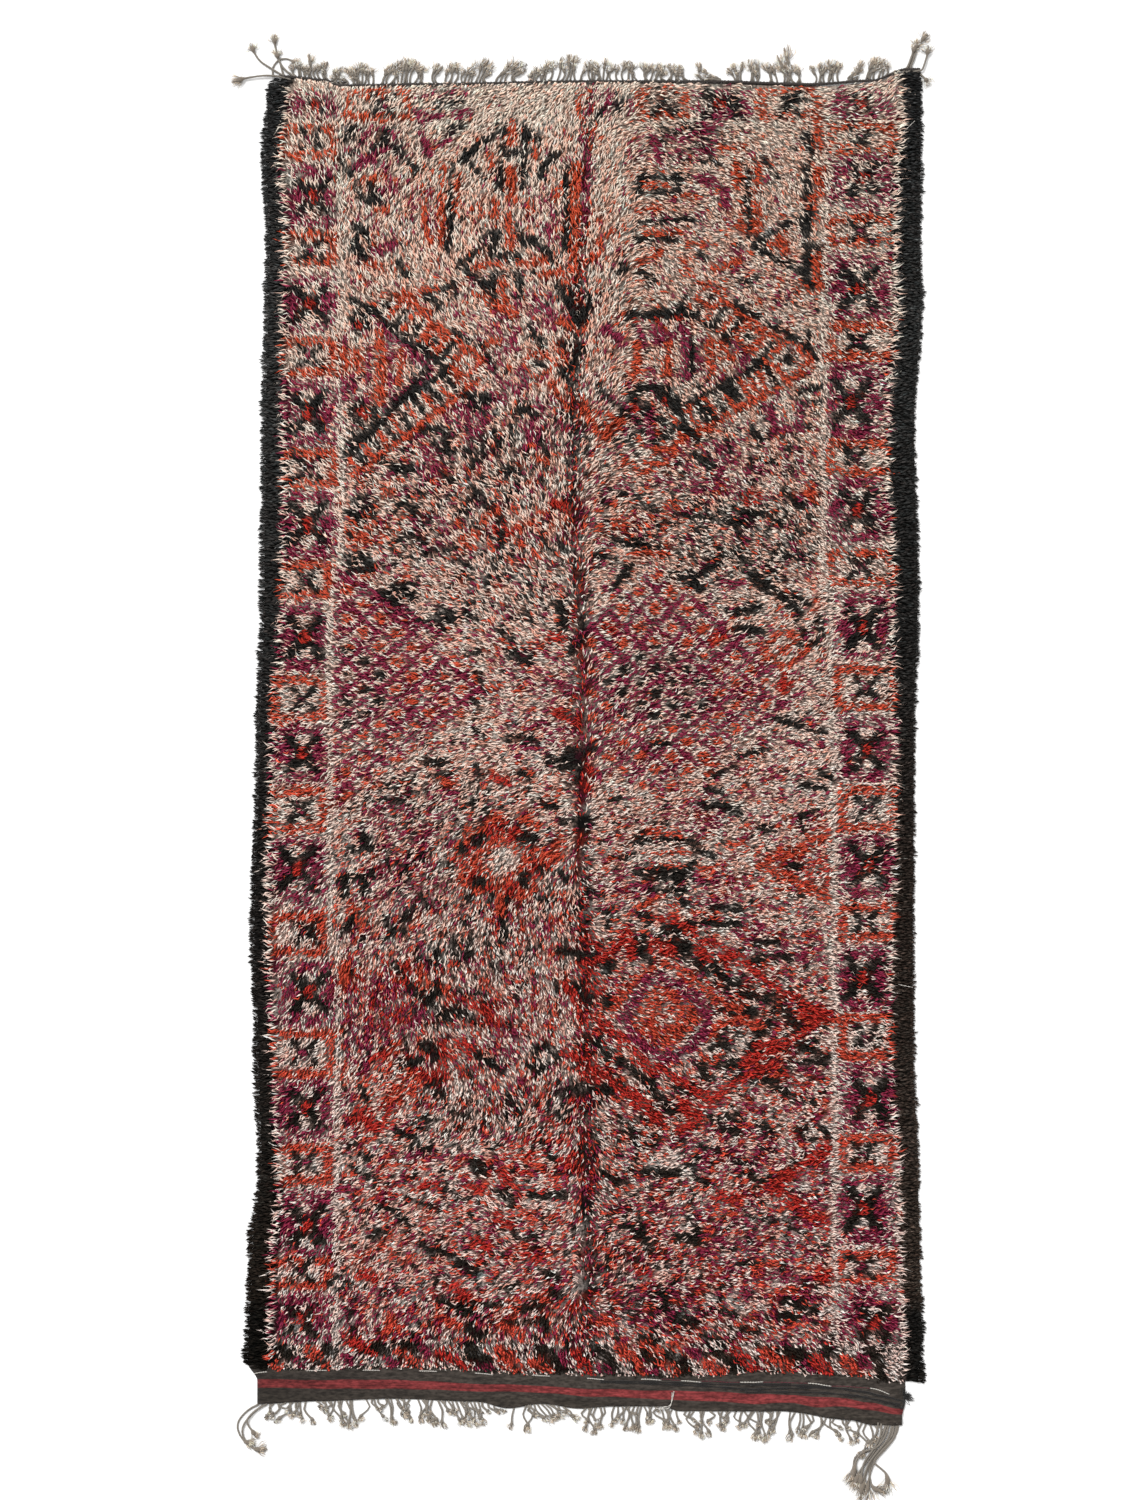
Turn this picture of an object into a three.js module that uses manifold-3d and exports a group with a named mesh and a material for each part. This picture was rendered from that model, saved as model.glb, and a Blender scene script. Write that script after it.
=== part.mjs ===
// A long-pile wool rug lying flat on the floor. One woven cloth carries the shag and ends in a
// flat-woven band at its foot. A twined cord follows its head edge. The knotted warp ends are a
// fringe along each end, and the edge warps hang as a longer tassel at each corner.
//
// Millimetres. +X is the rug's right, +Y its head end and +Z up. The origin is on the floor
// under the middle of the shag.

import * as THREE from 'three';
import Module from 'manifold-3d';

const wasm = await Module();
wasm.setup();

// Heights of the cloth and its pile
const CLOTH_THICKNESS = 3;
const SHAG_HEIGHT = 22;
const SHAG_RIM_HEIGHT = 9;
const SHAG_LUMP = 5;
const PIECE_GAP = 0.3;

// Width over which the pile rolls down to its rim, and how far its locks reach past the slab
const RIM_ROLL = 60;
const SIDE_LOCK_REACH = 18;
const FOOT_LOCK_REACH = 9;

// Plan of the pile's grid: cells of about this size, and extra lines near a side
const SHAG_CELL = 54;
const NEAR_SIDE = [0, 14, 34];
const SIDE_STRIP_SEAM = 34;
const SIDE_STRIP_SEAM_DEPTH = 3;
const CELL_WANDER = 0.16;

// The parting that an old fold leaves down the middle of the pile
const PARTING_DEPTH = 7;
const PARTING_HALF_WIDTH = 24;

// Locks at the pile's rim
const SIDE_LOCKS = 58;
const FOOT_LOCKS = 28;
const LOCK_ROOT = 14;
const LOCK_SINK = 0.5;
const LOCK_WIDTH = 24;
const LOCK_HEIGHT = 8;

// The cord along the head edge, and the narrow strips that hold the fringes
const EDGE_CORD_WIDTH = 6;
const EDGE_CORD_HEIGHT = 5;
const STRIP_WIDTH = 6;
const STRIP_HEIGHT = 3;
const STRIP_SPACING = 2;

// Warp ends: each is a thin cord with a knot and a short brush past it
const HEAD_STRANDS = 54;
const FOOT_STRANDS = 76;
const STRAND_WIDTH = 5;
const STRAND_HEIGHT = 4.5;
const STRAND_LENGTH_SCATTER = 0.14;
const STRAND_BOW = 2.5;

// Colours of the wool
const SHAG_COLOUR = 0xb59a86;
const CORD_COLOUR = 0x3a322c;
const WARP_COLOUR = 0xa0958a;

// Side edges of the whole pile, dark side strips included, from foot to head
const SIDES = [
  { y: -1845, left: -972, right: 941 },
  { y: -1470, left: -958, right: 932 },
  { y: -1246, left: -932, right: 927 },
  { y: -910, left: -941, right: 913 },
  { y: -574, left: -952, right: 913 },
  { y: 14, left: -935, right: 916 },
  { y: 350, left: -924, right: 927 },
  { y: 854, left: -921, right: 916 },
  { y: 1190, left: -913, right: 938 },
  { y: 1358, left: -907, right: 932 },
  { y: 1610, left: -921, right: 935 },
  { y: 1778, left: -904, right: 935 },
  { y: 1834, left: -862, right: 930 },
];

// Head edge of the cloth, from left to right
const HEAD_EDGE = [
  { x: -860, y: 1812 },
  { x: -742, y: 1802 },
  { x: -697, y: 1786 },
  { x: -459, y: 1790 },
  { x: 3, y: 1798 },
  { x: 330, y: 1798 },
  { x: 622, y: 1790 },
  { x: 792, y: 1800 },
  { x: 890, y: 1832 },
  { x: 930, y: 1832 },
];

// Foot edge of the pile, where the flat-woven band starts
const SHAG_FOOT = [
  { x: -972, y: -1786 },
  { x: -916, y: -1804 },
  { x: -473, y: -1800 },
  { x: -162, y: -1816 },
  { x: 260, y: -1824 },
  { x: 479, y: -1812 },
  { x: 750, y: -1822 },
  { x: 829, y: -1840 },
  { x: 941, y: -1846 },
];

// Foot edge of the flat-woven band
const BAND_FOOT = [
  { x: -927, y: -1901 },
  { x: -762, y: -1893 },
  { x: -563, y: -1886 },
  { x: -316, y: -1894 },
  { x: -227, y: -1913 },
  { x: -134, y: -1900 },
  { x: -28, y: -1914 },
  { x: 45, y: -1908 },
  { x: 202, y: -1907 },
  { x: 250, y: -1921 },
  { x: 535, y: -1921 },
  { x: 728, y: -1945 },
  { x: 800, y: -1960 },
  { x: 868, y: -1960 },
];

// Sides of the flat-woven band. It runs on under the pile as the ground of the whole rug.
const BAND_SIDES = {
  underPile: -1700,
  leftTop: -930,
  leftFoot: -927,
  rightTop: 885,
  notchY: -1914,
  rightFoot: 868,
};

// Line of the parting, from foot to head
const PARTING = [
  { y: -1845, x: 3 },
  { y: -900, x: -6 },
  { y: 14, x: -25 },
  { y: 826, x: -39 },
  { y: 1834, x: -3 },
];

// How the warp ends lie along each edge: the sideways lean of a tip and its reach off the edge
const HEAD_FRINGE = [
  { x: -820, lean: 10, reach: 70 },
  { x: -700, lean: -8, reach: 50 },
  { x: -620, lean: 0, reach: 64 },
  { x: -530, lean: 18, reach: 78 },
  { x: -430, lean: 6, reach: 66 },
  { x: -300, lean: 30, reach: 72 },
  { x: -200, lean: 42, reach: 76 },
  { x: -60, lean: 18, reach: 88 },
  { x: 110, lean: 0, reach: 66 },
  { x: 290, lean: -34, reach: 54 },
  { x: 400, lean: -4, reach: 62 },
  { x: 540, lean: -4, reach: 106 },
  { x: 610, lean: 2, reach: 60 },
  { x: 740, lean: 24, reach: 72 },
  { x: 850, lean: 4, reach: 70 },
];
const FOOT_FRINGE = [
  { x: -890, lean: 22, reach: 60 },
  { x: -740, lean: 22, reach: 64 },
  { x: -660, lean: -4, reach: 66 },
  { x: -560, lean: 26, reach: 64 },
  { x: -340, lean: 34, reach: 72 },
  { x: -210, lean: -8, reach: 78 },
  { x: -120, lean: 20, reach: 62 },
  { x: -10, lean: -8, reach: 80 },
  { x: 90, lean: -14, reach: 64 },
  { x: 260, lean: 16, reach: 68 },
  { x: 440, lean: 8, reach: 76 },
  { x: 600, lean: -14, reach: 76 },
  { x: 720, lean: 8, reach: 82 },
  { x: 800, lean: -16, reach: 62 },
];

// Corner tassels: the stretch of edge that holds each, its count of long strands, and where the
// first and the last of them bend and end. A stretch runs with the rug on its right. The bulge
// lengthens the strands in the middle.
const CORNER_TASSELS = [
  {
    name: 'head_left_tassel',
    edge: 'head',
    from: -858,
    to: -830,
    strands: 3,
    firstBend: [-902, 1842],
    lastBend: [-858, 1868],
    firstTip: [-996, 1826],
    lastTip: [-876, 1934],
    bulge: 0,
  },
  {
    name: 'head_right_tassel',
    edge: 'head',
    from: 881,
    to: 904,
    strands: 3,
    firstBend: [898, 1880],
    lastBend: [928, 1864],
    firstTip: [930, 1938],
    lastTip: [972, 1866],
    bulge: 0,
  },
  {
    name: 'foot_left_tassel',
    edge: 'foot',
    from: -900,
    to: -926,
    strands: 3,
    firstBend: [-930, -1944],
    lastBend: [-970, -1952],
    firstTip: [-908, -1988],
    lastTip: [-950, -2022],
    bulge: 0,
  },
  {
    name: 'foot_right_tassel',
    edge: 'foot',
    from: 866,
    to: 810,
    strands: 7,
    firstBend: [890, -2030],
    lastBend: [818, -2050],
    firstTip: [842, -2154],
    lastTip: [730, -2142],
    bulge: -46,
  },
];

// Cross-sections of swept bodies: shares of the width to the left and of the height. Each has a
// flat foot, so the body lies level.
const RIDGE = [
  [-0.5, 0],
  [0.5, 0],
  [0, 1],
];
const BAR = [
  [-0.5, 0],
  [0.5, 0],
  [0.5, 1],
  [-0.5, 1],
];
const ROUND_CORD = [
  [-0.35, 0],
  [0.35, 0],
  [0.5, 0.5],
  [0.25, 1],
  [-0.25, 1],
  [-0.5, 0.5],
];

// Stations along a warp end, a rim lock and a tassel strand, with shares of their full sizes
const STRAND_STATIONS = [
  { at: 0, width: 1, height: 1 },
  { at: 0.4, width: 1, height: 1 },
  { at: 0.72, width: 1, height: 1 },
  { at: 0.82, width: 2.3, height: 1.8 },
  { at: 1, width: 1.5, height: 1.1 },
];
const TASSEL_STATIONS = [
  { at: 0, width: 1, height: 1 },
  { at: 0.2, width: 1, height: 1 },
  { at: 0.42, width: 1, height: 1 },
  { at: 0.64, width: 1, height: 1 },
  { at: 0.83, width: 1, height: 1 },
  { at: 0.9, width: 2.4, height: 2 },
  { at: 1, width: 1.7, height: 1.2 },
];
const LOCK_STATIONS = [
  { at: 0, width: 1, height: 1 },
  { at: 0.55, width: 0.8, height: 0.7 },
  { at: 1, width: 0.25, height: 0.3 },
];

// A steady scatter from -1 to 1 that depends only on two counts
function scatter(i, j) {
  const wave = Math.sin(i * 12.9898 + j * 78.233) * 43758.5453;
  return 2 * (wave - Math.floor(wave)) - 1;
}

// The value of a table's column at a place between its rows, eased from row to row
function readTable(rows, key, place, column) {
  let k = 0;
  while (k < rows.length - 2 && place > rows[k + 1][key]) {
    k += 1;
  }
  const low = rows[k];
  const high = rows[k + 1];
  const share = THREE.MathUtils.smoothstep(place, low[key], high[key]);
  return THREE.MathUtils.lerp(low[column], high[column], share);
}

// The point in plan at a share of the way from one to the other
function blend(start, end, share) {
  return [
    THREE.MathUtils.lerp(start[0], end[0], share),
    THREE.MathUtils.lerp(start[1], end[1], share),
  ];
}

// Even numbers from start to end, both ends included
function steps(start, end, count) {
  return Array.from({ length: count + 1 }, (unused, k) => start + ((end - start) * k) / count);
}

// A closed solid from its points and its triangles, which face out
function solidOf(points, triangles) {
  const mesh = new wasm.Mesh({
    numProp: 3,
    vertProperties: new Float32Array(points.flat()),
    triVerts: new Uint32Array(triangles.flat()),
  });
  return new wasm.Manifold(mesh);
}

// All the given solids joined to the first one
function join(first, others) {
  return others.reduce((whole, other) => whole.add(other), first);
}

// Unit direction of a line in plan at one of its points
function headingAt(line, k) {
  const back = line[Math.max(k - 1, 0)];
  const ahead = line[Math.min(k + 1, line.length - 1)];
  const length = Math.hypot(ahead[0] - back[0], ahead[1] - back[1]);
  return [(ahead[0] - back[0]) / length, (ahead[1] - back[1]) / length];
}

// The line shifted to its left in plan
function shiftLeft(line, distance) {
  return line.map(([x, y], k) => {
    const [dx, dy] = headingAt(line, k);
    return [x - dy * distance, y + dx * distance];
  });
}

// A closed body carried along a line in plan: at each point the section is scaled to a width and
// a height, and stands upright on the base height
function sweep(line, widths, heights, section, base = 0) {
  const corners = section.length;
  const points = line.flatMap(([x, y], k) => {
    const [dx, dy] = headingAt(line, k);
    return section.map(([side, up]) => {
      const across = side * widths[k];
      return [x - dy * across, y + dx * across, base + up * heights[k]];
    });
  });
  const triangles = [];
  for (let k = 0; k < line.length - 1; k += 1) {
    for (let c = 0; c < corners; c += 1) {
      const here = k * corners + c;
      const beside = k * corners + ((c + 1) % corners);
      triangles.push([here, beside, beside + corners]);
      triangles.push([here, beside + corners, here + corners]);
    }
  }
  const lastRing = (line.length - 1) * corners;
  for (let c = 1; c < corners - 1; c += 1) {
    triangles.push([0, c + 1, c]);
    triangles.push([lastRing, lastRing + c, lastRing + c + 1]);
  }
  return solidOf(points, triangles);
}

// A strand or lock from root to tip through a bend, with its stations along that curve
function strand(root, bend, tip, stations, width, height, base = 0) {
  const curve = new THREE.QuadraticBezierCurve(
    new THREE.Vector2(...root),
    new THREE.Vector2(...bend),
    new THREE.Vector2(...tip),
  );
  const line = stations.map((station) => curve.getPointAt(station.at).toArray());
  const widths = stations.map((station) => station.width * width);
  const heights = stations.map((station) => station.height * height);
  return sweep(line, widths, heights, RIDGE, base);
}

// Edges of the slab under the shag, a lock's reach inside the pile's outline
function slabLeft(y) {
  return readTable(SIDES, 'y', y, 'left') + SIDE_LOCK_REACH;
}

function slabRight(y) {
  return readTable(SIDES, 'y', y, 'right') - SIDE_LOCK_REACH;
}

function slabFoot(x) {
  return readTable(SHAG_FOOT, 'x', x, 'y') + FOOT_LOCK_REACH;
}

function slabHead(x) {
  return readTable(HEAD_EDGE, 'x', x, 'y');
}

// Shares from 0 to 1 across half the pile: lines close to the side, even cells, then two lines
// beside the parting
function halfShares(halfWidth) {
  const inner = halfWidth - PARTING_HALF_WIDTH;
  const cells = Math.round((inner - RIM_ROLL) / SHAG_CELL);
  const distances = [...NEAR_SIDE, ...steps(RIM_ROLL, inner, cells), halfWidth];
  return distances.map((distance) => distance / halfWidth);
}

// The slab's grid in plan. Lines across run from left to right through the parting, and lines
// along run from foot to head.
function slabGrid() {
  const half = halfShares(slabRight(0));
  const across = [...half.map((share) => share - 1), ...half.slice(0, -1).reverse().map((s) => 1 - s)];
  const foot = slabFoot(0);
  const head = slabHead(0);
  const cells = Math.round((head - foot - 2 * RIM_ROLL) / SHAG_CELL);
  const levels = [
    ...NEAR_SIDE.map((inset) => foot + inset),
    ...steps(foot + RIM_ROLL, head - RIM_ROLL, cells),
    ...NEAR_SIDE.map((inset) => head - inset).reverse(),
  ];
  return levels.map((level, row) =>
    across.map((share, column) => {
      const parting = readTable(PARTING, 'y', level, 'x');
      const side = share < 0 ? slabLeft(level) : slabRight(level);
      const x = THREE.MathUtils.lerp(parting, side, Math.abs(share));
      const along = (level - foot) / (head - foot);
      const y = THREE.MathUtils.lerp(slabFoot(x), slabHead(x), along);
      return wander(x, y, row, column, levels.length, across.length);
    }),
  );
}

// Moves an inner point of the grid a little, so that the lumps don't lie in rows
function wander(x, y, row, column, rows, columns) {
  const middle = (columns - 1) / 2;
  const nearSide = Math.min(column, columns - 1 - column) < NEAR_SIDE.length + 1;
  const nearEnd = Math.min(row, rows - 1 - row) < NEAR_SIDE.length + 1;
  const nearParting = Math.abs(column - middle) < 2;
  const reach = nearSide || nearEnd || nearParting ? 0 : CELL_WANDER * SHAG_CELL;
  return [x + reach * scatter(row, column), y + reach * scatter(column, row + 7)];
}

// Height of the pile at a point of the grid: rolled down at the rim, parted down the middle,
// a shallow seam beside each side strip, and lumps all over
function shagHeight(x, y, row, column) {
  const fromSide = Math.min(x - slabLeft(y), slabRight(y) - x);
  const fromEnd = Math.min(y - slabFoot(x), slabHead(x) - y);
  const roll = THREE.MathUtils.clamp(Math.min(fromSide, fromEnd) / RIM_ROLL, 0, 1);
  const rise = 1 - (1 - roll) ** 2;
  const fromParting = (x - readTable(PARTING, 'y', y, 'x')) / PARTING_HALF_WIDTH;
  const parting = PARTING_DEPTH * Math.exp(-2 * fromParting * fromParting);
  const fromSeam = (fromSide - SIDE_STRIP_SEAM) / (SIDE_STRIP_SEAM / 2);
  const seam = SIDE_STRIP_SEAM_DEPTH * Math.exp(-fromSeam * fromSeam);
  const lump = SHAG_LUMP * scatter(row + 3, column + 5);
  return SHAG_RIM_HEIGHT + rise * (SHAG_HEIGHT - SHAG_RIM_HEIGHT - parting - seam + lump);
}

// The grid's points in order around its rim, counter-clockwise from above
function rimOf(rows, columns) {
  const index = (row, column) => row * columns + column;
  const rim = [];
  for (let column = 0; column < columns - 1; column += 1) {
    rim.push(index(0, column));
  }
  for (let row = 0; row < rows - 1; row += 1) {
    rim.push(index(row, columns - 1));
  }
  for (let column = columns - 1; column > 0; column -= 1) {
    rim.push(index(rows - 1, column));
  }
  for (let row = rows - 1; row > 0; row -= 1) {
    rim.push(index(row, 0));
  }
  return rim;
}

// The lumpy slab: the grid as its top, upright walls around it and a flat underside
function shagSlab(grid) {
  const rows = grid.length;
  const columns = grid[0].length;
  const points = grid.flatMap((line, row) =>
    line.map(([x, y], column) => [x, y, shagHeight(x, y, row, column)]),
  );
  const triangles = [];
  for (let row = 0; row < rows - 1; row += 1) {
    for (let column = 0; column < columns - 1; column += 1) {
      const here = row * columns + column;
      triangles.push([here, here + 1, here + columns + 1]);
      triangles.push([here, here + columns + 1, here + columns]);
    }
  }
  const rim = rimOf(rows, columns);
  const firstBelow = points.length;
  rim.forEach((top) => points.push([points[top][0], points[top][1], 0]));
  rim.forEach((top, k) => {
    const next = (k + 1) % rim.length;
    triangles.push([firstBelow + k, firstBelow + next, rim[next]]);
    triangles.push([firstBelow + k, rim[next], top]);
  });
  const outline = rim.map((top) => new THREE.Vector2(points[top][0], points[top][1]));
  THREE.ShapeUtils.triangulateShape(outline, []).forEach(([a, b, c]) => {
    triangles.push([firstBelow + a, firstBelow + c, firstBelow + b]);
  });
  return solidOf(points, triangles);
}

// The flat-woven band, with the stretch of ground by which it runs in under the pile
function flatWovenBand() {
  const inset = SIDE_LOCK_REACH + LOCK_ROOT;
  const left = slabLeft(BAND_SIDES.underPile) + inset;
  const right = slabRight(BAND_SIDES.underPile) - inset;
  const sidesTop = slabFoot(left) + LOCK_ROOT;
  const outline = [
    [left, BAND_SIDES.underPile],
    [BAND_SIDES.leftTop, sidesTop],
    [BAND_SIDES.leftFoot, BAND_FOOT[0].y],
    ...BAND_FOOT.slice(1).map((row) => [row.x, row.y]),
    [BAND_SIDES.rightFoot, BAND_SIDES.notchY],
    [BAND_SIDES.rightTop, BAND_SIDES.notchY + (BAND_SIDES.rightTop - BAND_SIDES.rightFoot)],
    [BAND_SIDES.rightTop, slabFoot(BAND_SIDES.rightTop) + LOCK_ROOT],
    [right, BAND_SIDES.underPile],
  ];
  const contour = outline.map(([x, y]) => new THREE.Vector2(x, y));
  const below = outline.map(([x, y]) => [x, y, 0]);
  const above = outline.map(([x, y]) => [x, y, CLOTH_THICKNESS]);
  const count = outline.length;
  const triangles = [];
  outline.forEach((point, k) => {
    const next = (k + 1) % count;
    triangles.push([k, next, next + count]);
    triangles.push([k, next + count, k + count]);
  });
  THREE.ShapeUtils.triangulateShape(contour, []).forEach(([a, b, c]) => {
    triangles.push([a, c, b]);
    triangles.push([a + count, b + count, c + count]);
  });
  return solidOf([...below, ...above], triangles);
}

// Locks that stick out of the pile's sides and over the band at its foot
function rimLocks() {
  const locks = [];
  const sideStart = slabFoot(0) + 2 * LOCK_ROOT;
  const sideEnd = HEAD_EDGE[0].y - 4 * LOCK_ROOT;
  const pitch = (sideEnd - sideStart) / (SIDE_LOCKS - 1);
  [-1, 1].forEach((side) => {
    for (let k = 0; k < SIDE_LOCKS; k += 1) {
      const y = sideStart + pitch * (k + 0.25 * scatter(k, side));
      const x = side < 0 ? slabLeft(y) : slabRight(y);
      const reach = SIDE_LOCK_REACH * (1.15 + 0.45 * scatter(side, k));
      const lean = 0.3 * pitch * scatter(k, 3 + side);
      const root = [x - side * LOCK_ROOT, y];
      const bend = [x + side * reach * 0.5, y + lean * 0.2];
      const tip = [x + side * reach, y + lean];
      locks.push(strand(root, bend, tip, LOCK_STATIONS, LOCK_WIDTH, LOCK_HEIGHT));
    }
  });
  const footWidth = BAND_SIDES.rightTop - BAND_SIDES.leftTop - 4 * LOCK_WIDTH;
  for (let k = 0; k < FOOT_LOCKS; k += 1) {
    const x = BAND_SIDES.leftTop + 2 * LOCK_WIDTH + (footWidth * k) / (FOOT_LOCKS - 1);
    const y = slabFoot(x);
    const reach = FOOT_LOCK_REACH * (1.5 + 0.5 * scatter(k, 11));
    const root = [x, y + LOCK_ROOT];
    const bend = [x, y - reach * 0.3];
    const tip = [x + 6 * scatter(k, 13), y - reach];
    const base = CLOTH_THICKNESS - LOCK_SINK;
    locks.push(strand(root, bend, tip, LOCK_STATIONS, LOCK_WIDTH, LOCK_HEIGHT - base, base));
  }
  return locks;
}

// The cloth with its shag and its flat-woven band, woven in one piece
function rugCloth(grid) {
  return join(shagSlab(grid), [flatWovenBand(), ...rimLocks()]);
}

// The two edges in plan that cords and fringes follow. Each has the rug on its right, so that
// shifting it left moves it off the cloth.
function clothEdges(grid) {
  const head = grid[grid.length - 1];
  const foot = BAND_FOOT.map((row) => [row.x, row.y]).reverse();
  return { head, foot };
}

// The line's y at a place in x
function edgeY(line, x) {
  const k = line.findIndex((point, n) => n > 0 && (point[0] - x) * (line[n - 1][0] - x) <= 0);
  const [before, after] = [line[k - 1], line[k]];
  return before[1] + ((after[1] - before[1]) * (x - before[0])) / (after[0] - before[0]);
}

// The stretch of a line between two places in x, with its ends cut to them
function stretchOf(line, from, to) {
  const low = Math.min(from, to) + 1;
  const high = Math.max(from, to) - 1;
  const inside = line.filter(([x]) => x > low && x < high);
  return [[from, edgeY(line, from)], ...inside, [to, edgeY(line, to)]];
}

// A bar of even section along a line, its near face at the given distance off the line
function barAlong(line, distance, width, height, section) {
  const middle = shiftLeft(line, distance + width / 2);
  return sweep(middle, middle.map(() => width), middle.map(() => height), section);
}

// The twined cord that finishes the head edge
function headEdgeCord(edges) {
  return barAlong(edges.head, PIECE_GAP, EDGE_CORD_WIDTH, EDGE_CORD_HEIGHT, ROUND_CORD);
}

// How far off the cloth's edge a fringe's strip lies: the head fringe has the cord in between
function stripDistance(edge) {
  return edge === 'head' ? 2 * PIECE_GAP + EDGE_CORD_WIDTH : PIECE_GAP;
}

// A fringe: its strip along the edge and its strands, which lean as the table says. Its ends
// run in the direction of the edge's line.
function fringe(edges, edge, rows, from, to, count) {
  const distance = stripDistance(edge);
  const outward = Math.sign(to - from);
  const strip = barAlong(stretchOf(edges[edge], from, to), distance, STRIP_WIDTH, STRIP_HEIGHT, BAR);
  const margin = outward * STRAND_WIDTH;
  const strands = steps(from + margin, to - margin, count - 1).map((x, k) => {
    const rootY = edgeY(edges[edge], x) + outward * (distance + STRIP_WIDTH / 2);
    const lean = readTable(rows, 'x', x, 'lean');
    const length = 1 + STRAND_LENGTH_SCATTER * scatter(k, 17 * outward);
    const reach = readTable(rows, 'x', x, 'reach') * length - distance;
    const bow = STRAND_BOW * scatter(k, 19);
    const bend = [x + bow, rootY + outward * reach * 0.55];
    const tip = [x + lean, rootY + outward * reach];
    return strand([x, rootY], bend, tip, STRAND_STATIONS, STRAND_WIDTH, STRAND_HEIGHT);
  });
  return join(strip, strands);
}

// A corner tassel: a short head along the edge with long strands fanned out of it
function cornerTassel(edges, tassel) {
  const stretch = stretchOf(edges[tassel.edge], tassel.from, tassel.to);
  const distance = stripDistance(tassel.edge);
  const head = barAlong(stretch, distance, STRIP_WIDTH, STRIP_HEIGHT, BAR);
  const middle = shiftLeft(stretch, distance + STRIP_WIDTH / 2);
  const margin = STRAND_WIDTH / 2 / Math.abs(tassel.to - tassel.from);
  const strands = steps(0, 1, tassel.strands - 1).map((share) => {
    const rootShare = THREE.MathUtils.lerp(margin, 1 - margin, share);
    const root = blend(middle[0], middle[middle.length - 1], rootShare);
    const bend = blend(tassel.firstBend, tassel.lastBend, share);
    const [tipX, tipY] = blend(tassel.firstTip, tassel.lastTip, share);
    const tip = [tipX, tipY + tassel.bulge * 4 * share * (1 - share)];
    return strand(root, bend, tip, TASSEL_STATIONS, STRAND_WIDTH, STRAND_HEIGHT);
  });
  return join(head, strands);
}

// A named mesh of a finished solid
function pieceMesh(name, solid, colour) {
  const mesh = solid.getMesh();
  const shape = new THREE.BufferGeometry();
  shape.setAttribute('position', new THREE.BufferAttribute(mesh.vertProperties, 3));
  shape.setIndex(new THREE.BufferAttribute(mesh.triVerts, 1));
  shape.computeVertexNormals();
  const material = new THREE.MeshStandardMaterial({ color: colour, roughness: 0.95, metalness: 0 });
  const piece = new THREE.Mesh(shape, material);
  piece.name = name;
  return piece;
}

const grid = slabGrid();
const edges = clothEdges(grid);
const [headLeft, headRight, footLeft, footRight] = CORNER_TASSELS;
const headEnds = [headLeft.to + STRIP_SPACING, headRight.from - STRIP_SPACING];
const footEnds = [footRight.to - STRIP_SPACING, footLeft.from + STRIP_SPACING];
const headFringe = fringe(edges, 'head', HEAD_FRINGE, ...headEnds, HEAD_STRANDS);
const footFringe = fringe(edges, 'foot', FOOT_FRINGE, ...footEnds, FOOT_STRANDS);

const rug = new THREE.Group();
rug.add(pieceMesh('rug_cloth', rugCloth(grid), SHAG_COLOUR));
rug.add(pieceMesh('head_edge_cord', headEdgeCord(edges), CORD_COLOUR));
rug.add(pieceMesh('head_fringe', headFringe, WARP_COLOUR));
rug.add(pieceMesh('foot_fringe', footFringe, WARP_COLOUR));
CORNER_TASSELS.forEach((tassel) => {
  rug.add(pieceMesh(tassel.name, cornerTassel(edges, tassel), WARP_COLOUR));
});

export default rug;
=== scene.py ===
"""A long-pile wool rug lying flat on a pale floor, seen from straight above.

One woven ground carries a deep shag of bent wool locks, with dark wool down both sides and a
flat-woven band at the foot. The warp ends are knotted at both ends. The figures are laid out by
tables of places that were read off the photo.
Metres. +X is the rug's right, +Y its head end, +Z up, and the floor is z = 0.
"""

import math

import bpy
import numpy as np
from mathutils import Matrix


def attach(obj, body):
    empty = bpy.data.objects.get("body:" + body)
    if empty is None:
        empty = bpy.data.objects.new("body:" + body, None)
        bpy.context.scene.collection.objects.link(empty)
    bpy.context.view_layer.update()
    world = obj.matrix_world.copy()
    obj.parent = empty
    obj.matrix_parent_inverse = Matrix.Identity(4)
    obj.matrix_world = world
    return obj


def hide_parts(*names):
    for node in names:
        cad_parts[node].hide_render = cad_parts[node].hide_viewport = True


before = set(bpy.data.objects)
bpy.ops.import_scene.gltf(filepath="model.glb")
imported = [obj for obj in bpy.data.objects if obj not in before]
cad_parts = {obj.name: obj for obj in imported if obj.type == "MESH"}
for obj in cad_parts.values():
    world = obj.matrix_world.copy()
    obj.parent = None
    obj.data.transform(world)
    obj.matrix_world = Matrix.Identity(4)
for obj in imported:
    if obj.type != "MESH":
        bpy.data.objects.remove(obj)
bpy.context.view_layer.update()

# The chart of the knots counts in steps of 2.8 mm, one for each pixel of the photo: across to the
# rug's right and down to its foot. MIDDLE is the count at the rug's origin. The places of blocks,
# ladders, lattices, clouds, strokes, rings and blobs were read off enlarged crops of the photo under
# a ruled grid, one by one.
COUNT = 0.0028
MIDDLE = (589, 725)

# Edges, in metres, as in the part's source: side edges by y, and end edges by x
SIDES = np.array([
    # y, left, right
    (-1.845, -0.972, 0.941),
    (-1.470, -0.958, 0.932),
    (-1.246, -0.932, 0.927),
    (-0.910, -0.941, 0.913),
    (-0.574, -0.952, 0.913),
    (0.014, -0.935, 0.916),
    (0.350, -0.924, 0.927),
    (0.854, -0.921, 0.916),
    (1.190, -0.913, 0.938),
    (1.358, -0.907, 0.932),
    (1.610, -0.921, 0.935),
    (1.778, -0.904, 0.935),
    (1.834, -0.862, 0.930),
])
HEAD_EDGE = np.array([
    # x, y
    (-0.860, 1.812),
    (-0.742, 1.802),
    (-0.697, 1.786),
    (-0.459, 1.790),
    (0.003, 1.798),
    (0.330, 1.798),
    (0.622, 1.790),
    (0.792, 1.800),
    (0.890, 1.832),
    (0.930, 1.832),
])
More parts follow.
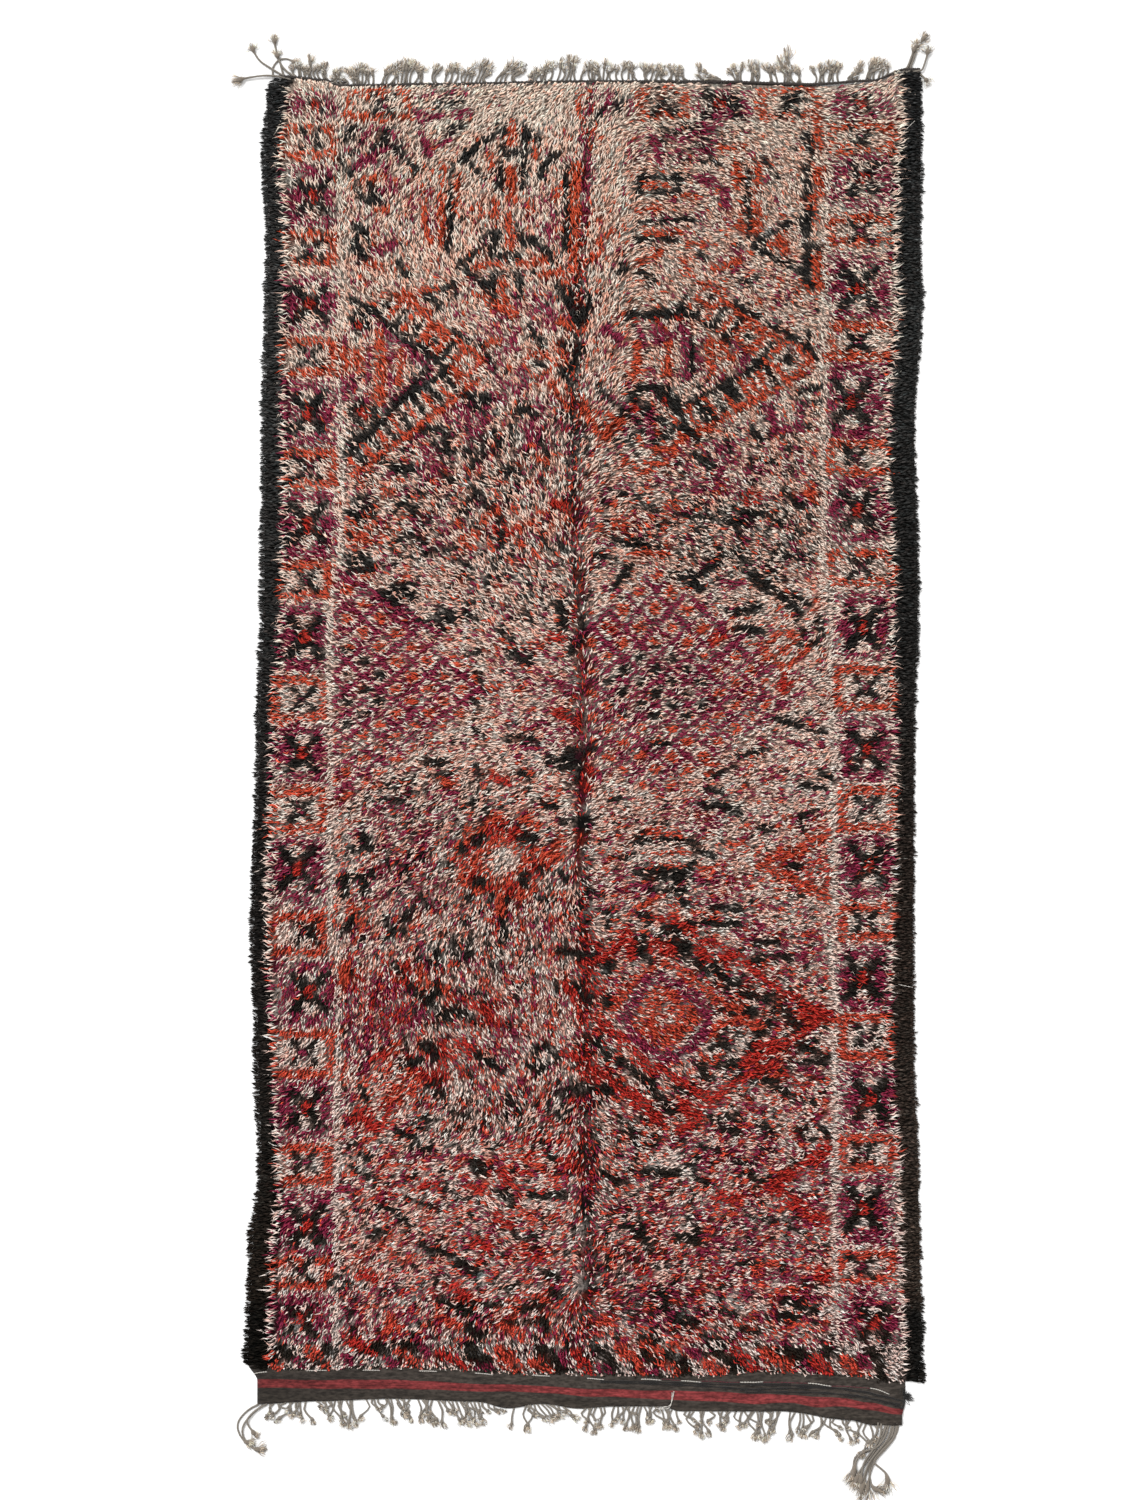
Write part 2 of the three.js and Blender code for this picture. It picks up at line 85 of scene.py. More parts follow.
SHAG_FOOT = np.array([
    # x, y
    (-0.972, -1.786),
    (-0.916, -1.804),
    (-0.473, -1.800),
    (-0.162, -1.816),
    (0.260, -1.824),
    (0.479, -1.812),
    (0.750, -1.822),
    (0.829, -1.840),
    (0.941, -1.846),
])
BAND_FOOT = np.array([
    # x, y
    (-0.927, -1.901),
    (-0.762, -1.893),
    (-0.563, -1.886),
    (-0.316, -1.894),
    (-0.227, -1.913),
    (-0.134, -1.900),
    (-0.028, -1.914),
    (0.045, -1.908),
    (0.202, -1.907),
    (0.250, -1.921),
    (0.535, -1.921),
    (0.728, -1.945),
    (0.800, -1.960),
    (0.868, -1.960),
])
PARTING = np.array([
    # y, x
    (-1.845, 0.003),
    (-0.900, -0.006),
    (0.014, -0.025),
    (0.826, -0.039),
    (1.834, -0.003),
])

# The dark strips of pile down both sides
STRIPS = np.array([
    # y, width of the left strip, of the right strip
    (-1.845, 0.086, 0.070),
    (-1.400, 0.086, 0.073),
    (-1.120, 0.071, 0.080),
    (-0.800, 0.070, 0.086),
    (-0.420, 0.066, 0.075),
    (0.000, 0.064, 0.076),
    (0.280, 0.078, 0.090),
    (0.700, 0.083, 0.096),
    (1.060, 0.074, 0.091),
    (1.500, 0.072, 0.088),
    (1.720, 0.074, 0.072),
])

# Stripe of the band: its middle line and half its height
STRIPE = np.array([
    # x, y, half height
    (-0.930, -1.846, 0.0122),
    (-0.725, -1.844, 0.0128),
    (-0.530, -1.847, 0.0122),
    (-0.305, -1.855, 0.0106),
    (-0.110, -1.860, 0.0094),
    (0.003, -1.869, 0.0103),
    (0.143, -1.872, 0.0108),
    (0.311, -1.879, 0.0138),
    (0.479, -1.886, 0.0138),
    (0.560, -1.887, 0.0106),
    (0.638, -1.897, 0.0140),
    (0.711, -1.895, 0.0115),
    (0.784, -1.907, 0.0108),
    (0.868, -1.922, 0.0080),
])

# Heights and widths of the cloth and its pile. The pile rolls down to its rim over RIM_ROLL, and
# the parting is a dip of its height.
CLOTH_THICKNESS = 0.003
BED_RIM = 0.0045
BED_HEIGHT = 0.012
RIM_ROLL = 0.060
PARTING_WIDTH = 0.024
PARTING_DIP = 0.42

# The locks: how far apart they are knotted, and their usual sizes
KNOT_PITCH = 0.0070
LOCK_LENGTH = 0.0265
LOCK_WIDTH = 0.0049
LOCK_HEIGHT = 0.0042
BELLY_SHARE = 0.58
BELLY_TURNS = (math.pi / 2, math.pi * 7 / 6, math.pi * 11 / 6)

# Knots keep off the rim by these margins. Beside the dark strips some locks point outward.
SIDE_MARGIN = 0.012
END_MARGIN = 0.004
SPIKE_WIDTH = 0.016
SPIKE_END = 0.030

# A lock takes the chart's dye from the place that this share of it covers, and the bright dyes
# stand up a little more than the others
SEEN_SHARE = 0.72
BRIGHT_LIFT = 0.0014

# The pile is split into thirds from its foot
THIRD_START, THIRD = -1.86, 1.24

# Wool dyes, as linear colours: at the head of the rug, and at its foot. They, the shares of dyes and
# the strips' wool below were set against mean colours of wide areas of the photo.
IVORY, PEACH, ORANGE, RED, PLUM, BLACK, CHARCOAL = range(7)
DYES_AT_HEAD = np.array([
    (0.830, 0.665, 0.555),
    (0.765, 0.450, 0.335),
    (0.560, 0.090, 0.040),
    (0.425, 0.038, 0.024),
    (0.270, 0.032, 0.070),
    (0.027, 0.026, 0.025),
    (0.014, 0.013, 0.014),
])
DYES_AT_FOOT = np.array([
    (0.815, 0.632, 0.568),
    (0.750, 0.400, 0.325),
    (0.600, 0.076, 0.046),
    (0.500, 0.036, 0.028),
    (0.265, 0.027, 0.064),
    (0.022, 0.017, 0.013),
    (0.012, 0.010, 0.008),
])

# How the locks lie: the way their tips point, in degrees from the rug's right, turning towards
# its head. A row for each count down, a column for each count across. The slants follow those that
# a script measured on the photo's grey levels, and which end is the tip was judged by eye.
NAP_ACROSS = np.array([300, 348, 400, 450, 505, 560, 605, 655, 710, 765, 820, 880])
NAP = np.array([
    # down, then the twelve columns
    (100, 123, 70, 45, 30, 33, 45, 66, 350, 338, 335, 350, 30),
    (145, 119, 80, 61, 43, 62, 90, 63, 327, 345, 325, 322, 335),
    (190, 121, 90, 68, 65, 73, 90, 72, 338, 334, 306, 310, 345),
    (280, 132, 113, 116, 118, 129, 98, 80, 312, 327, 333, 328, 335),
    (370, 126, 125, 128, 133, 121, 112, 60, 308, 310, 322, 304, 0),
    (460, 139, 141, 145, 129, 122, 88, 20, 348, 327, 319, 320, 5),
    (550, 150, 141, 158, 143, 131, 120, 350, 340, 339, 334, 317, 330),
    (640, 165, 161, 179, 178, 153, 175, 10, 352, 13, 24, 35, 20),
    (730, 185, 194, 191, 188, 182, 196, 40, 22, 4, 8, 4, 356),
    (820, 182, 209, 210, 215, 216, 190, 15, 9, 2, 8, 17, 16),
    (910, 228, 240, 230, 240, 262, 270, 20, 4, 0, 358, 1, 359),
    (1000, 244, 266, 267, 285, 298, 275, 327, 0, 347, 352, 350, 358),
    (1045, 226, 251, 234, 318, 289, 300, 327, 322, 349, 8, 348, 348),
    (1090, 222, 229, 208, 250, 302, 240, 331, 328, 358, 0, 350, 347),
    (1180, 207, 207, 202, 197, 150, 195, 329, 10, 19, 355, 5, 4),
    (1270, 237, 232, 212, 190, 177, 205, 50, 20, 3, 2, 354, 0),
    (1360, 250, 235, 245, 280, 300, 290, 300, 300, 305, 310, 315, 330),
])

# Mixed ground: how patchy each dye is, how much chance counts beside that, and the share of each
# dye among single knots, by count down
PATCHINESS = (0.8, 1.1, 1.9, 1.9, 1.9, 1.8)
GROUND_CHANCE = 0.30
GROUND = np.array([
    # down, ivory, peach, orange, red, plum, black
    (90, 0.66, 0.46, 0.06, 0.00, 0.06, 0.03),
    (330, 0.52, 0.40, 0.09, 0.00, 0.09, 0.07),
    (460, 0.42, 0.30, 0.10, 0.01, 0.12, 0.14),
    (700, 0.64, 0.40, 0.10, 0.01, 0.13, 0.06),
    (1000, 0.42, 0.26, 0.16, 0.05, 0.13, 0.12),
    (1370, 0.34, 0.20, 0.17, 0.06, 0.15, 0.15),
])

# Clouds in the ground where one dye is commoner
CLOUDS = [
    # across, down, half across, half down, dye, share
    (378, 148, 36, 24, PLUM, 0.25), (672, 146, 50, 22, PLUM, 0.3), (690, 146, 46, 18, BLACK, 0.25),
    (602, 105, 18, 18, PLUM, 0.35), (540, 215, 24, 40, PLUM, 0.14), (400, 215, 50, 30, PLUM, 0.12),
    (530, 310, 40, 24, PLUM, 0.3), (690, 210, 40, 30, PLUM, 0.14), (500, 345, 22, 22, PLUM, 0.3),
    (470, 420, 26, 24, PLUM, 0.35), (545, 425, 30, 22, PLUM, 0.3), (430, 460, 24, 26, PLUM, 0.3),
    (500, 450, 60, 40, BLACK, 0.18), (430, 525, 80, 36, BLACK, 0.22), (520, 580, 60, 40, BLACK, 0.2),
    (740, 540, 90, 44, BLACK, 0.26), (700, 470, 50, 24, PLUM, 0.25), (640, 520, 50, 24, ORANGE, 0.15),
    (370, 530, 34, 22, ORANGE, 0.3), (545, 700, 50, 60, PLUM, 0.16), (440, 800, 100, 34, BLACK, 0.16),
    (470, 860, 90, 60, BLACK, 0.1), (400, 830, 40, 30, PLUM, 0.25), (400, 885, 50, 30, PLUM, 0.2),
    (478, 952, 60, 26, IVORY, 0.3), (478, 952, 60, 26, BLACK, 0.25), (700, 815, 36, 22, PLUM, 0.35),
    (705, 885, 40, 22, PLUM, 0.3), (620, 890, 40, 22, PLUM, 0.25), (780, 920, 60, 60, IVORY, 0.15),
    (800, 952, 34, 16, PLUM, 0.4), (380, 1010, 46, 34, PLUM, 0.45), (360, 1050, 16, 26, PLUM, 0.45),
    (380, 1000, 44, 30, RED, 0.25), (455, 1010, 50, 22, BLACK, 0.25), (480, 1012, 40, 20, RED, 0.2),
    (445, 1060, 40, 26, RED, 0.25), (400, 1085, 40, 20, ORANGE, 0.3), (370, 1118, 24, 18, RED, 0.4),
    (508, 1044, 20, 20, PLUM, 0.35), (470, 1120, 60, 30, IVORY, 0.25), (470, 1120, 60, 30, BLACK, 0.15),
    (535, 1110, 36, 24, BLACK, 0.15), (400, 1240, 60, 40, PEACH, 0.2), (380, 1310, 50, 30, PLUM, 0.2),
    (660, 1305, 40, 22, PLUM, 0.45), (660, 1310, 40, 22, BLACK, 0.25), (720, 1150, 60, 30, PLUM, 0.2),
    (650, 1160, 40, 40, BLACK, 0.15), (770, 1275, 60, 30, PLUM, 0.16), (750, 1230, 70, 30, PLUM, 0.2),
    (605, 1010, 26, 60, RED, 0.25), (730, 1000, 70, 24, RED, 0.12), (740, 1030, 80, 60, BLACK, 0.22),
    (620, 1240, 40, 60, BLACK, 0.14), (540, 1160, 44, 40, RED, 0.2), (860, 1345, 30, 12, PLUM, 0.35),
]

# The parting down the middle: half its width in counts, and the share of each dye in it
CREASE = np.array([
    # down, half width, black, red, plum, orange
    (90, 6, 0.08, 0.14, 0.26, 0.20),
    (160, 7, 0.12, 0.30, 0.16, 0.18),
    (250, 7, 0.22, 0.30, 0.06, 0.12),
    (330, 7, 0.40, 0.12, 0.08, 0.12),
    (560, 6, 0.32, 0.14, 0.14, 0.14),
    (630, 7, 0.14, 0.26, 0.28, 0.12),
    (780, 7, 0.18, 0.30, 0.26, 0.08),
    (860, 7, 0.32, 0.24, 0.14, 0.08),
    (1000, 8, 0.28, 0.42, 0.10, 0.06),
    (1150, 8, 0.38, 0.24, 0.14, 0.06),
    (1370, 8, 0.32, 0.24, 0.20, 0.08),
])

# Border blocks down each side, in turn a plum one and an orange one, with the place of their core
LEFT_BLOCKS = [
    # top, foot, core across, core down
    (90, 117, 315, 106), (124, 160, 311, 139), (165, 227, 313, 197), (231, 267, 311, 250),
    (272, 331, 310, 304), (337, 376, 310, 356), (379, 447, 308, 413), (449, 488, 308, 468),
    (490, 559, 308, 524), (561, 600, 306, 580), (603, 672, 304, 637), (676, 722, 302, 699),
    (727, 783, 302, 754), (787, 833, 300, 810), (838, 910, 297, 869), (913, 957, 306, 932),
    (962, 1028, 310, 993), (1030, 1078, 304, 1053), (1080, 1141, 305, 1108), (1144, 1186, 305, 1163),
    (1189, 1255, 307, 1226), (1257, 1290, 300, 1271), (1292, 1342, 300, 1320),
]
RIGHT_BLOCKS = [
    # top, foot, core across, core down
    (88, 119, 862, 104), (124, 156, 862, 140), (156, 211, 864, 180), (216, 248, 861, 233),
    (253, 320, 859, 290), (323, 362, 858, 343), (364, 440, 852, 403), (440, 476, 856, 458),
    (479, 545, 859, 511), (550, 587, 862, 568), (589, 660, 864, 628), (665, 711, 866, 688),
    (714, 780, 867, 750), (786, 831, 868, 808), (835, 898, 870, 865), (903, 941, 866, 922),
    (944, 1010, 863, 978), (1013, 1060, 866, 1036), (1061, 1130, 871, 1099), (1134, 1172, 864, 1153),
    (1174, 1245, 864, 1207), (1250, 1283, 862, 1267), (1285, 1342, 875, 1323),
]
HEAD_BLOCKS = [
    # from, to, core across, plum or orange
    (345, 414, 384, ORANGE),
    (638, 690, 664, ORANGE),
    (694, 753, 722, PLUM),
    (757, 821, 790, ORANGE),
]

# Ladder bands: a dark edge, an edge of another dye, and rungs of ivory, orange and black between
LADDERS = [
    # from across, down, to across, down, half width, dye of its head side and of its foot side
    (385, 305, 472, 369, 17, ORANGE, BLACK),
    (342, 466, 471, 368, 17, BLACK, ORANGE),
    (688, 294, 776, 358, 17, ORANGE, BLACK),
    (634, 451, 800, 361, 17, BLACK, ORANGE),
]

# Lattices: plum lines with ivory cells between, each cell with a dot. A knot as near as this to a
# line or a dot, in steps of the lattice, is part of it.
LINE_REACH = 0.112
DOT_REACH = 0.26
LATTICES = [
    # middle across, down, half across, half down, a column's count, step across
    (330, 690, 165, 122, 347, 16.2),
    (659, 685, 158, 112, 672, 15.8),
]
LATTICE_ROWS = [
    # counts down, and the number of the row there, for each lattice
    ((560, 590, 690, 772, 830), (-2, 0, 7, 14, 19)),
    ((556, 592, 628, 658, 682, 705, 728, 770, 810), (-2, 0, 2, 4, 6, 8, 10, 13, 16)),
]

# Strokes of the figures: a dye, half a width, and chains, each its start and then its steps, across
# and down in turn
STROKES = [
    (PLUM, 2.6, [
        (424, 98, 16, -6), (440, 95, 26, -3), (428, 118, 14, 0), (628, 98, 2, 17), (612, 92, -4, 20),
        (364, 140, 8, -12), (390, 130, 8, 12), (364, 158, 20, 10), (440, 146, 12, -6), (388, 172, 4, 18),
        (384, 192, 12, -8), (553, 196, -1, 24), (368, 335, 0, 65), (391, 345, 0, 49), (345, 336, -1, 64),
        (350, 384, 6, 16), (505, 338, -5, 18), (515, 330, -3, 16), (460, 408, -2, 22), (470, 404, 0, 32),
        (480, 408, -2, 26), (536, 418, 4, 28), (528, 424, 2, 16), (700, 350, 0, 22), (436, 515, 10, 15),
        (410, 520, 10, 14), (476, 580, -6, 12), (640, 330, 6, 20), (735, 345, 13, 13),
        (748, 360, -12, 14), (690, 480, 10, 12), (625, 484, 7, 12), (716, 478, 12, 6), (540, 688, 12, -6),
        (536, 724, 12, 8), (520, 746, 14, 4), (448, 792, 8, 12), (370, 812, 14, -4), (760, 780, 20, -4),
        (790, 742, 20, 6), (760, 744, 20, -8), (420, 944, 4, 14), (464, 958, 16, 6), (480, 1226, 15, 6),
        (655, 858, 25, -2), (640, 884, 20, 4), (760, 900, 16, 8), (745, 1104, 21, 2), (800, 1068, 18, 4),
        (655, 1208, 25, 2), (720, 1240, 24, 2), (770, 1278, 30, 2), (560, 1262, 6, 18),
        (700, 1250, 20, 6), (764, 1340, 26, 2),
    ]),
    (PLUM, 4.4, [
        (355, 166, 30, -16), (424, 136, 4, 16), (418, 112, 8, 8), (455, 116, 13, -3), (374, 252, 18, -6),
        (548, 228, 4, 12), (540, 308, 16, 8), (380, 326, 48, 40), (428, 372, -42, 40), (585, 182, 0, 36),
        (582, 140, 10, 36), (498, 381, 20, 10), (520, 372, 5, 12), (490, 397, 14, 3), (424, 448, 12, 24),
        (340, 575, 44, 25, 56, 34), (606, 328, 18, 16), (656, 328, 2, 16), (686, 328, 0, 52),
        (652, 374, 3, 18), (651, 412, 1, 32), (606, 396, 36, 28), (718, 445, 12, 15), (768, 408, 7, 16),
        (775, 430, 25, -2), (800, 424, 0, -16), (722, 584, 20, 0), (556, 684, 14, 4), (574, 732, 14, 12),
        (726, 190, 0, 18), (700, 180, 16, 4), (654, 142, 6, 18), (668, 136, 22, 6), (700, 128, 16, 2),
        (565, 1186, 15, 4), (340, 1190, 12, -2), (700, 132, 18, -4),
    ]),
    (ORANGE, 2.8, [
        (444, 166, -3, 78), (459, 176, -2, 38), (362, 180, 22, -3), (536, 142, 1, 16), (490, 154, 2, 14),
        (481, 202, 1, 14), (495, 202, -1, 14), (530, 200, 0, 16), (560, 184, -4, 16), (476, 266, 24, -2),
        (518, 262, 28, 0), (366, 262, 16, 6), (474, 292, 26, 18), (418, 290, 22, 0), (562, 272, 4, 18),
        (578, 94, 2, 22), (424, 186, 2, 54), (376, 212, 14, -4), (404, 292, 20, 20), (400, 350, 0, 34),
        (345, 350, 0, 22), (486, 344, 14, -4), (540, 276, 20, -4), (646, 185, 25, 0), (646, 234, 36, 0),
        (676, 196, 24, 2), (640, 262, 24, -10), (686, 262, 6, 14), (714, 272, 26, -10),
        (600, 244, 12, -12), (590, 262, 10, -12), (720, 150, 24, -2), (690, 246, 26, 0),
        (640, 212, 20, -4), (796, 288, 24, 2), (548, 382, 20, 28), (560, 348, 12, 24), (588, 412, 8, 18),
        (600, 436, 20, -18), (625, 460, 20, 13, 21, -11), (655, 450, 20, 2), (700, 432, 14, -2),
        (636, 554, 29, 0), (720, 344, 15, 16), (704, 400, 12, 12), (692, 420, 10, 12), (730, 396, 16, 12),
        (748, 380, 12, 14), (536, 456, 12, 6), (345, 530, 21, 6), (380, 488, 12, 6), (524, 644, 18, 4),
        (500, 640, 12, 6), (484, 690, 16, -4), (520, 770, 14, 4), (440, 780, 16, 4), (645, 832, 15, 0),
        (664, 834, 16, -2), (645, 853, 45, -1), (650, 866, 40, 0), (700, 870, 16, -4), (730, 846, 14, -4),
        (640, 905, 16, -5), (660, 920, 16, -6), (700, 912, 16, 6), (800, 1000, 30, 12), (585, 936, 11, 8),
        (395, 1092, 25, -12), (385, 1100, 15, -6), (520, 1155, 20, 13), (600, 1246, 12, 6),
        (760, 1265, 16, -3), (758, 1270, 4, 14), (776, 1290, 24, -2), (795, 1322, 17, 4),
        (525, 1298, 20, -6), (400, 1262, 14, -6), (380, 1244, 12, -6), (720, 1215, 16, -5),
    ]),
    (ORANGE, 4.6, [
        (512, 123, 1, 19), (512, 168, -1, 30), (508, 216, 2, 30), (502, 284, 4, 14), (498, 302, 16, 12),
        (380, 332, 0, 68), (357, 352, 0, 18), (560, 322, 24, 6), (576, 166, -3, 102), (738, 168, 0, 18),
        (759, 166, 0, 24), (757, 206, 0, 26), (744, 206, -2, 24), (819, 124, 0, 24), (819, 172, 0, 24),
        (814, 200, 0, 22), (818, 258, -1, 34), (770, 246, 16, 0), (784, 238, 0, 18), (637, 344, 0, 34),
        (668, 344, 0, 30), (710, 344, 2, 30), (810, 486, 1, 12), (586, 400, -2, 14), (470, 836, 30, -20),
        (470, 832, -12, 20), (535, 852, 25, 5), (501, 890, 0, 24), (478, 892, -8, -8),
        (536, 826, -16, -8), (560, 840, -15, 22), (466, 866, -4, 18), (532, 888, -12, 10),
        (350, 908, 12, 17), (345, 965, 0, 20), (420, 970, 4, 20), (436, 984, 14, 12), (606, 1000, 8, 16),
        (800, 1018, 32, 2), (388, 1318, 10, 12), (444, 1318, 18, 12), (500, 1325, 22, 9),
        (520, 1210, 10, 10), (600, 1322, 12, -2), (646, 1344, 14, 6), (672, 1344, 18, 10),
    ]),
    (RED, 4.6, [
        (552, 503, 20, 5), (550, 636, 12, 4), (574, 722, 10, 8), (554, 712, 12, 4), (584, 764, 8, 8),
        (494, 776, 12, 6), (576, 780, 14, 8), (566, 985, 9, 15), (405, 966, 3, 18), (470, 1001, 16, 9),
        (485, 1016, 15, 7), (645, 940, 27, 10), (628, 934, 5, 21), (590, 940, 14, 12), (590, 985, 16, 15),
        (595, 1016, 15, 12), (625, 1085, 17, 23), (642, 1106, 20, 14), (590, 1060, 32, 32),
        (700, 1112, -10, 14), (715, 1196, 25, 1), (374, 1060, 12, -6), (442, 1046, 4, 28),
        (460, 1042, 14, 10), (416, 1072, 20, 8), (565, 1052, 11, 6), (586, 1076, 10, 6),
        (358, 1116, 22, 12), (422, 1184, 14, 2), (468, 1187, 14, 1), (500, 1172, 10, 10),
        (496, 1216, 14, 8), (560, 1160, 14, 8), (474, 1240, 12, 6), (526, 1256, 12, 2),
        (640, 1273, 12, 3), (818, 1275, 12, 1), (452, 1286, 14, 10), (360, 1275, 12, 3),
        (560, 1300, 12, 6), (596, 1170, 10, 6),
    ]),
    (BLACK, 2.6, [
        (618, 92, 1, 20), (605, 104, -7, 14), (352, 132, 10, 12), (384, 140, 12, 10), (344, 156, 12, -6),
        (400, 142, 4, 18), (466, 160, 18, 18), (543, 166, 17, -12), (460, 262, 24, -16),
        (453, 162, -5, 90), (566, 168, 1, 82), (570, 290, 4, 22), (492, 274, 28, 0), (640, 178, 40, -1),
        (640, 180, 0, 14, 46, -1), (679, 178, 1, 14), (640, 224, 46, -4, 10, 2), (638, 240, 38, 0),
        (748, 168, 1, 70), (704, 164, 18, 0), (662, 130, 14, 4), (684, 126, 16, 2), (754, 246, 36, -22),
        (756, 250, 40, 20, 10, 6), (764, 160, 16, 20), (700, 256, 12, 6), (740, 284, 16, -4),
        (640, 272, 16, 12), (618, 262, 12, 8), (810, 280, 6, 12), (800, 222, 6, 14), (480, 345, 15, 23),
        (736, 306, 22, 12), (804, 346, 14, 14), (452, 330, 18, 14), (470, 406, 15, 6), (470, 440, 2, 28),
        (482, 436, -2, 26), (494, 430, 6, 16), (560, 340, 6, 12), (380, 462, 14, 4), (440, 470, 10, 10),
        (540, 440, 6, 12), (500, 468, 20, 4), (400, 504, 16, 4), (410, 512, 20, 10), (404, 534, 16, 6),
        (430, 552, 16, -4), (456, 560, 14, 6), (352, 500, 16, -2), (500, 514, 2, 32), (560, 366, 10, 18),
        (582, 346, -6, 20), (540, 536, 8, 12), (556, 540, 10, 12), (490, 560, 8, 16), (692, 340, 1, 38),
        (600, 390, 40, 34), (684, 424, -28, 18), (800, 394, 20, -6), (806, 404, 16, 0),
        (690, 516, 30, 4, 40, 10), (640, 506, 20, 6), (600, 556, 16, 4), (762, 514, 18, 8),
        (780, 552, 20, 8), (620, 494, 20, 4), (466, 655, 18, -5), (478, 672, 6, 18), (470, 728, 16, 8),
        (474, 700, 6, 12), (516, 660, 14, 4), (500, 630, 12, 10), (524, 606, 8, 14), (400, 590, 12, -6),
        (420, 620, 20, 2, 4, 10), (572, 756, 4, 24), (512, 768, 18, 12), (476, 766, 4, 16),
        (430, 776, 22, -2), (384, 784, 12, 6), (524, 744, 16, -2), (650, 744, 22, -2), (790, 724, 36, 10),
        (740, 756, 28, -6), (714, 776, 22, -10), (800, 784, 26, 6), (820, 770, 14, 8), (680, 576, 20, 16),
        (796, 622, 10, 12), (760, 560, 16, 12), (792, 594, 16, 10), (740, 556, 12, 8), (606, 800, 14, -2),
        (655, 822, 15, 2), (640, 838, 42, 2), (622, 858, 12, -6), (700, 922, 40, 2), (648, 888, 38, 2),
        (755, 945, 23, -3), (752, 957, 24, 3), (790, 895, 16, 1), (590, 890, 14, 8), (700, 850, 14, 6),
        (760, 826, 14, 4), (800, 816, 16, -4), (640, 912, 12, 8), (660, 934, 22, -6), (680, 900, 12, 6),
        (600, 908, 12, 8), (604, 960, 12, 6), (452, 938, 2, 16), (468, 944, -2, 16), (436, 950, 2, 16),
        (420, 896, 6, 12), (404, 866, 6, 12), (384, 858, 6, 12), (540, 800, 12, 6), (560, 870, 6, 14),
        (426, 1086, 14, -4), (360, 1086, 6, 14), (445, 1190, 15, 6), (420, 1118, 16, 4),
        (450, 1112, 20, 6), (410, 1146, 20, 4), (380, 1206, 16, 4), (410, 1200, 20, 6),
        (556, 1112, 10, 12), (540, 1142, 12, 16), (510, 1100, 10, 12), (620, 1116, 2, 16),
        (630, 1124, 10, 12), (700, 1146, 20, 4), (736, 1160, 20, 4), (700, 1180, 16, 6),
        (750, 1176, 16, 4), (750, 1216, 26, 4), (790, 1224, 16, 12), (740, 1262, 16, 0),
        (640, 1336, 16, 4), (505, 1322, 35, 0), (500, 1288, 15, -4), (480, 1302, 20, 4),
        (540, 1270, 12, 6), (350, 1318, 6, 12), (420, 1244, 10, 10), (400, 1216, 12, 10),
        (514, 1236, 16, 4), (660, 1290, 8, 12), (720, 1310, 20, 6), (740, 1330, 20, 2),
        (700, 1334, 20, 6),
    ]),
    (BLACK, 3.8, [
        (436, 106, 16, -3), (450, 103, 12, -2), (343, 142, 13, -14), (374, 150, 12, -18),
        (338, 160, 12, 12), (406, 158, 10, 12), (450, 132, 10, -6), (358, 182, 3, 16, 19, 4),
        (370, 184, 6, 12), (462, 158, 20, -14, 20, -18), (503, 128, 0, 22), (503, 153, 25, 1),
        (526, 130, 1, 20), (528, 132, 12, 9), (500, 164, 0, 24), (524, 162, 0, 24), (542, 166, -1, 12),
        (497, 232, -5, 22), (484, 238, 12, -6), (494, 256, 26, 0), (518, 228, 6, 16),
        (524, 238, 14, 6, 16, 16), (460, 264, 14, 12, 20, 20), (493, 276, -1, 12), (518, 276, 2, 20),
        (355, 230, 1, 18, 10, 10), (361, 226, 9, 18), (398, 262, 10, 14), (444, 290, 8, -4, 4, 8),
        (425, 296, 15, 11), (556, 282, 10, 18, 10, 22), (590, 300, -8, 22),
        (352, 300, 28, 16, 20, 19, 20, 14, 16, 10), (426, 370, -26, 32, -54, 54), (530, 325, 10, 20),
        (462, 396, 28, 4), (520, 410, 15, 5), (422, 432, 18, -4, 6, 12), (436, 446, 16, 6),
        (396, 468, 16, 2), (346, 512, 16, 4), (369, 508, 5, 10), (470, 488, 10, 10, 10, 10),
        (660, 92, -10, 8), (664, 104, 12, 6), (706, 96, 16, 4, 18, 6), (786, 100, 20, -2),
        (806, 136, 6, 20), (807, 168, 0, 30), (808, 214, 0, 22), (808, 252, -2, 30), (806, 248, 14, 2),
        (614, 540, 36, 6), (640, 388, 32, 2), (695, 455, 17, 13), (752, 430, 10, 10), (708, 410, 9, 12),
        (684, 424, 9, 12), (720, 386, 20, 14), (770, 326, 30, 18), (790, 498, 10, 10), (742, 512, 14, 4),
        (345, 558, 5, 12), (350, 572, 21, -4), (362, 556, 10, 10), (382, 592, 14, 12), (395, 586, 17, 12),
        (466, 612, 10, 7), (508, 652, 22, 4), (558, 604, 6, 24), (578, 615, 8, 13), (570, 642, 6, 16),
        (548, 760, 18, -2), (560, 768, 20, -2), (566, 752, 26, -4), (424, 761, 20, 1), (508, 738, 22, 0),
        (700, 574, 16, -6), (690, 574, 14, 16), (736, 612, 24, -4), (736, 628, 26, 4), (800, 644, 16, -2),
        (776, 718, 24, 4), (820, 618, 2, 16), (742, 566, 20, 16, 24, 18, 14, 12), (630, 566, -14, 20),
        (710, 788, 12, 4), (383, 798, 17, 2), (362, 834, 4, 12), (350, 849, 22, -1), (346, 878, 26, -3),
        (343, 882, 2, 14), (363, 880, 1, 14), (343, 936, 9, -16), (412, 908, -6, 12), (404, 920, 2, 15),
        (386, 922, 6, 12), (396, 964, 6, 12), (436, 985, 2, 11), (425, 1000, 25, 20), (450, 1010, 30, 11),
        (560, 821, 32, -1), (501, 921, 4, 14), (560, 950, 30, 8), (575, 986, 15, 14), (702, 805, 14, 1),
        (722, 806, 18, 7), (682, 840, 16, 5), (636, 842, 10, 5), (636, 872, 14, 3), (688, 872, 6, -10),
        (790, 865, 11, 1), (715, 908, 25, -1), (640, 952, 12, 9), (672, 952, 18, 6), (402, 1064, 18, -4),
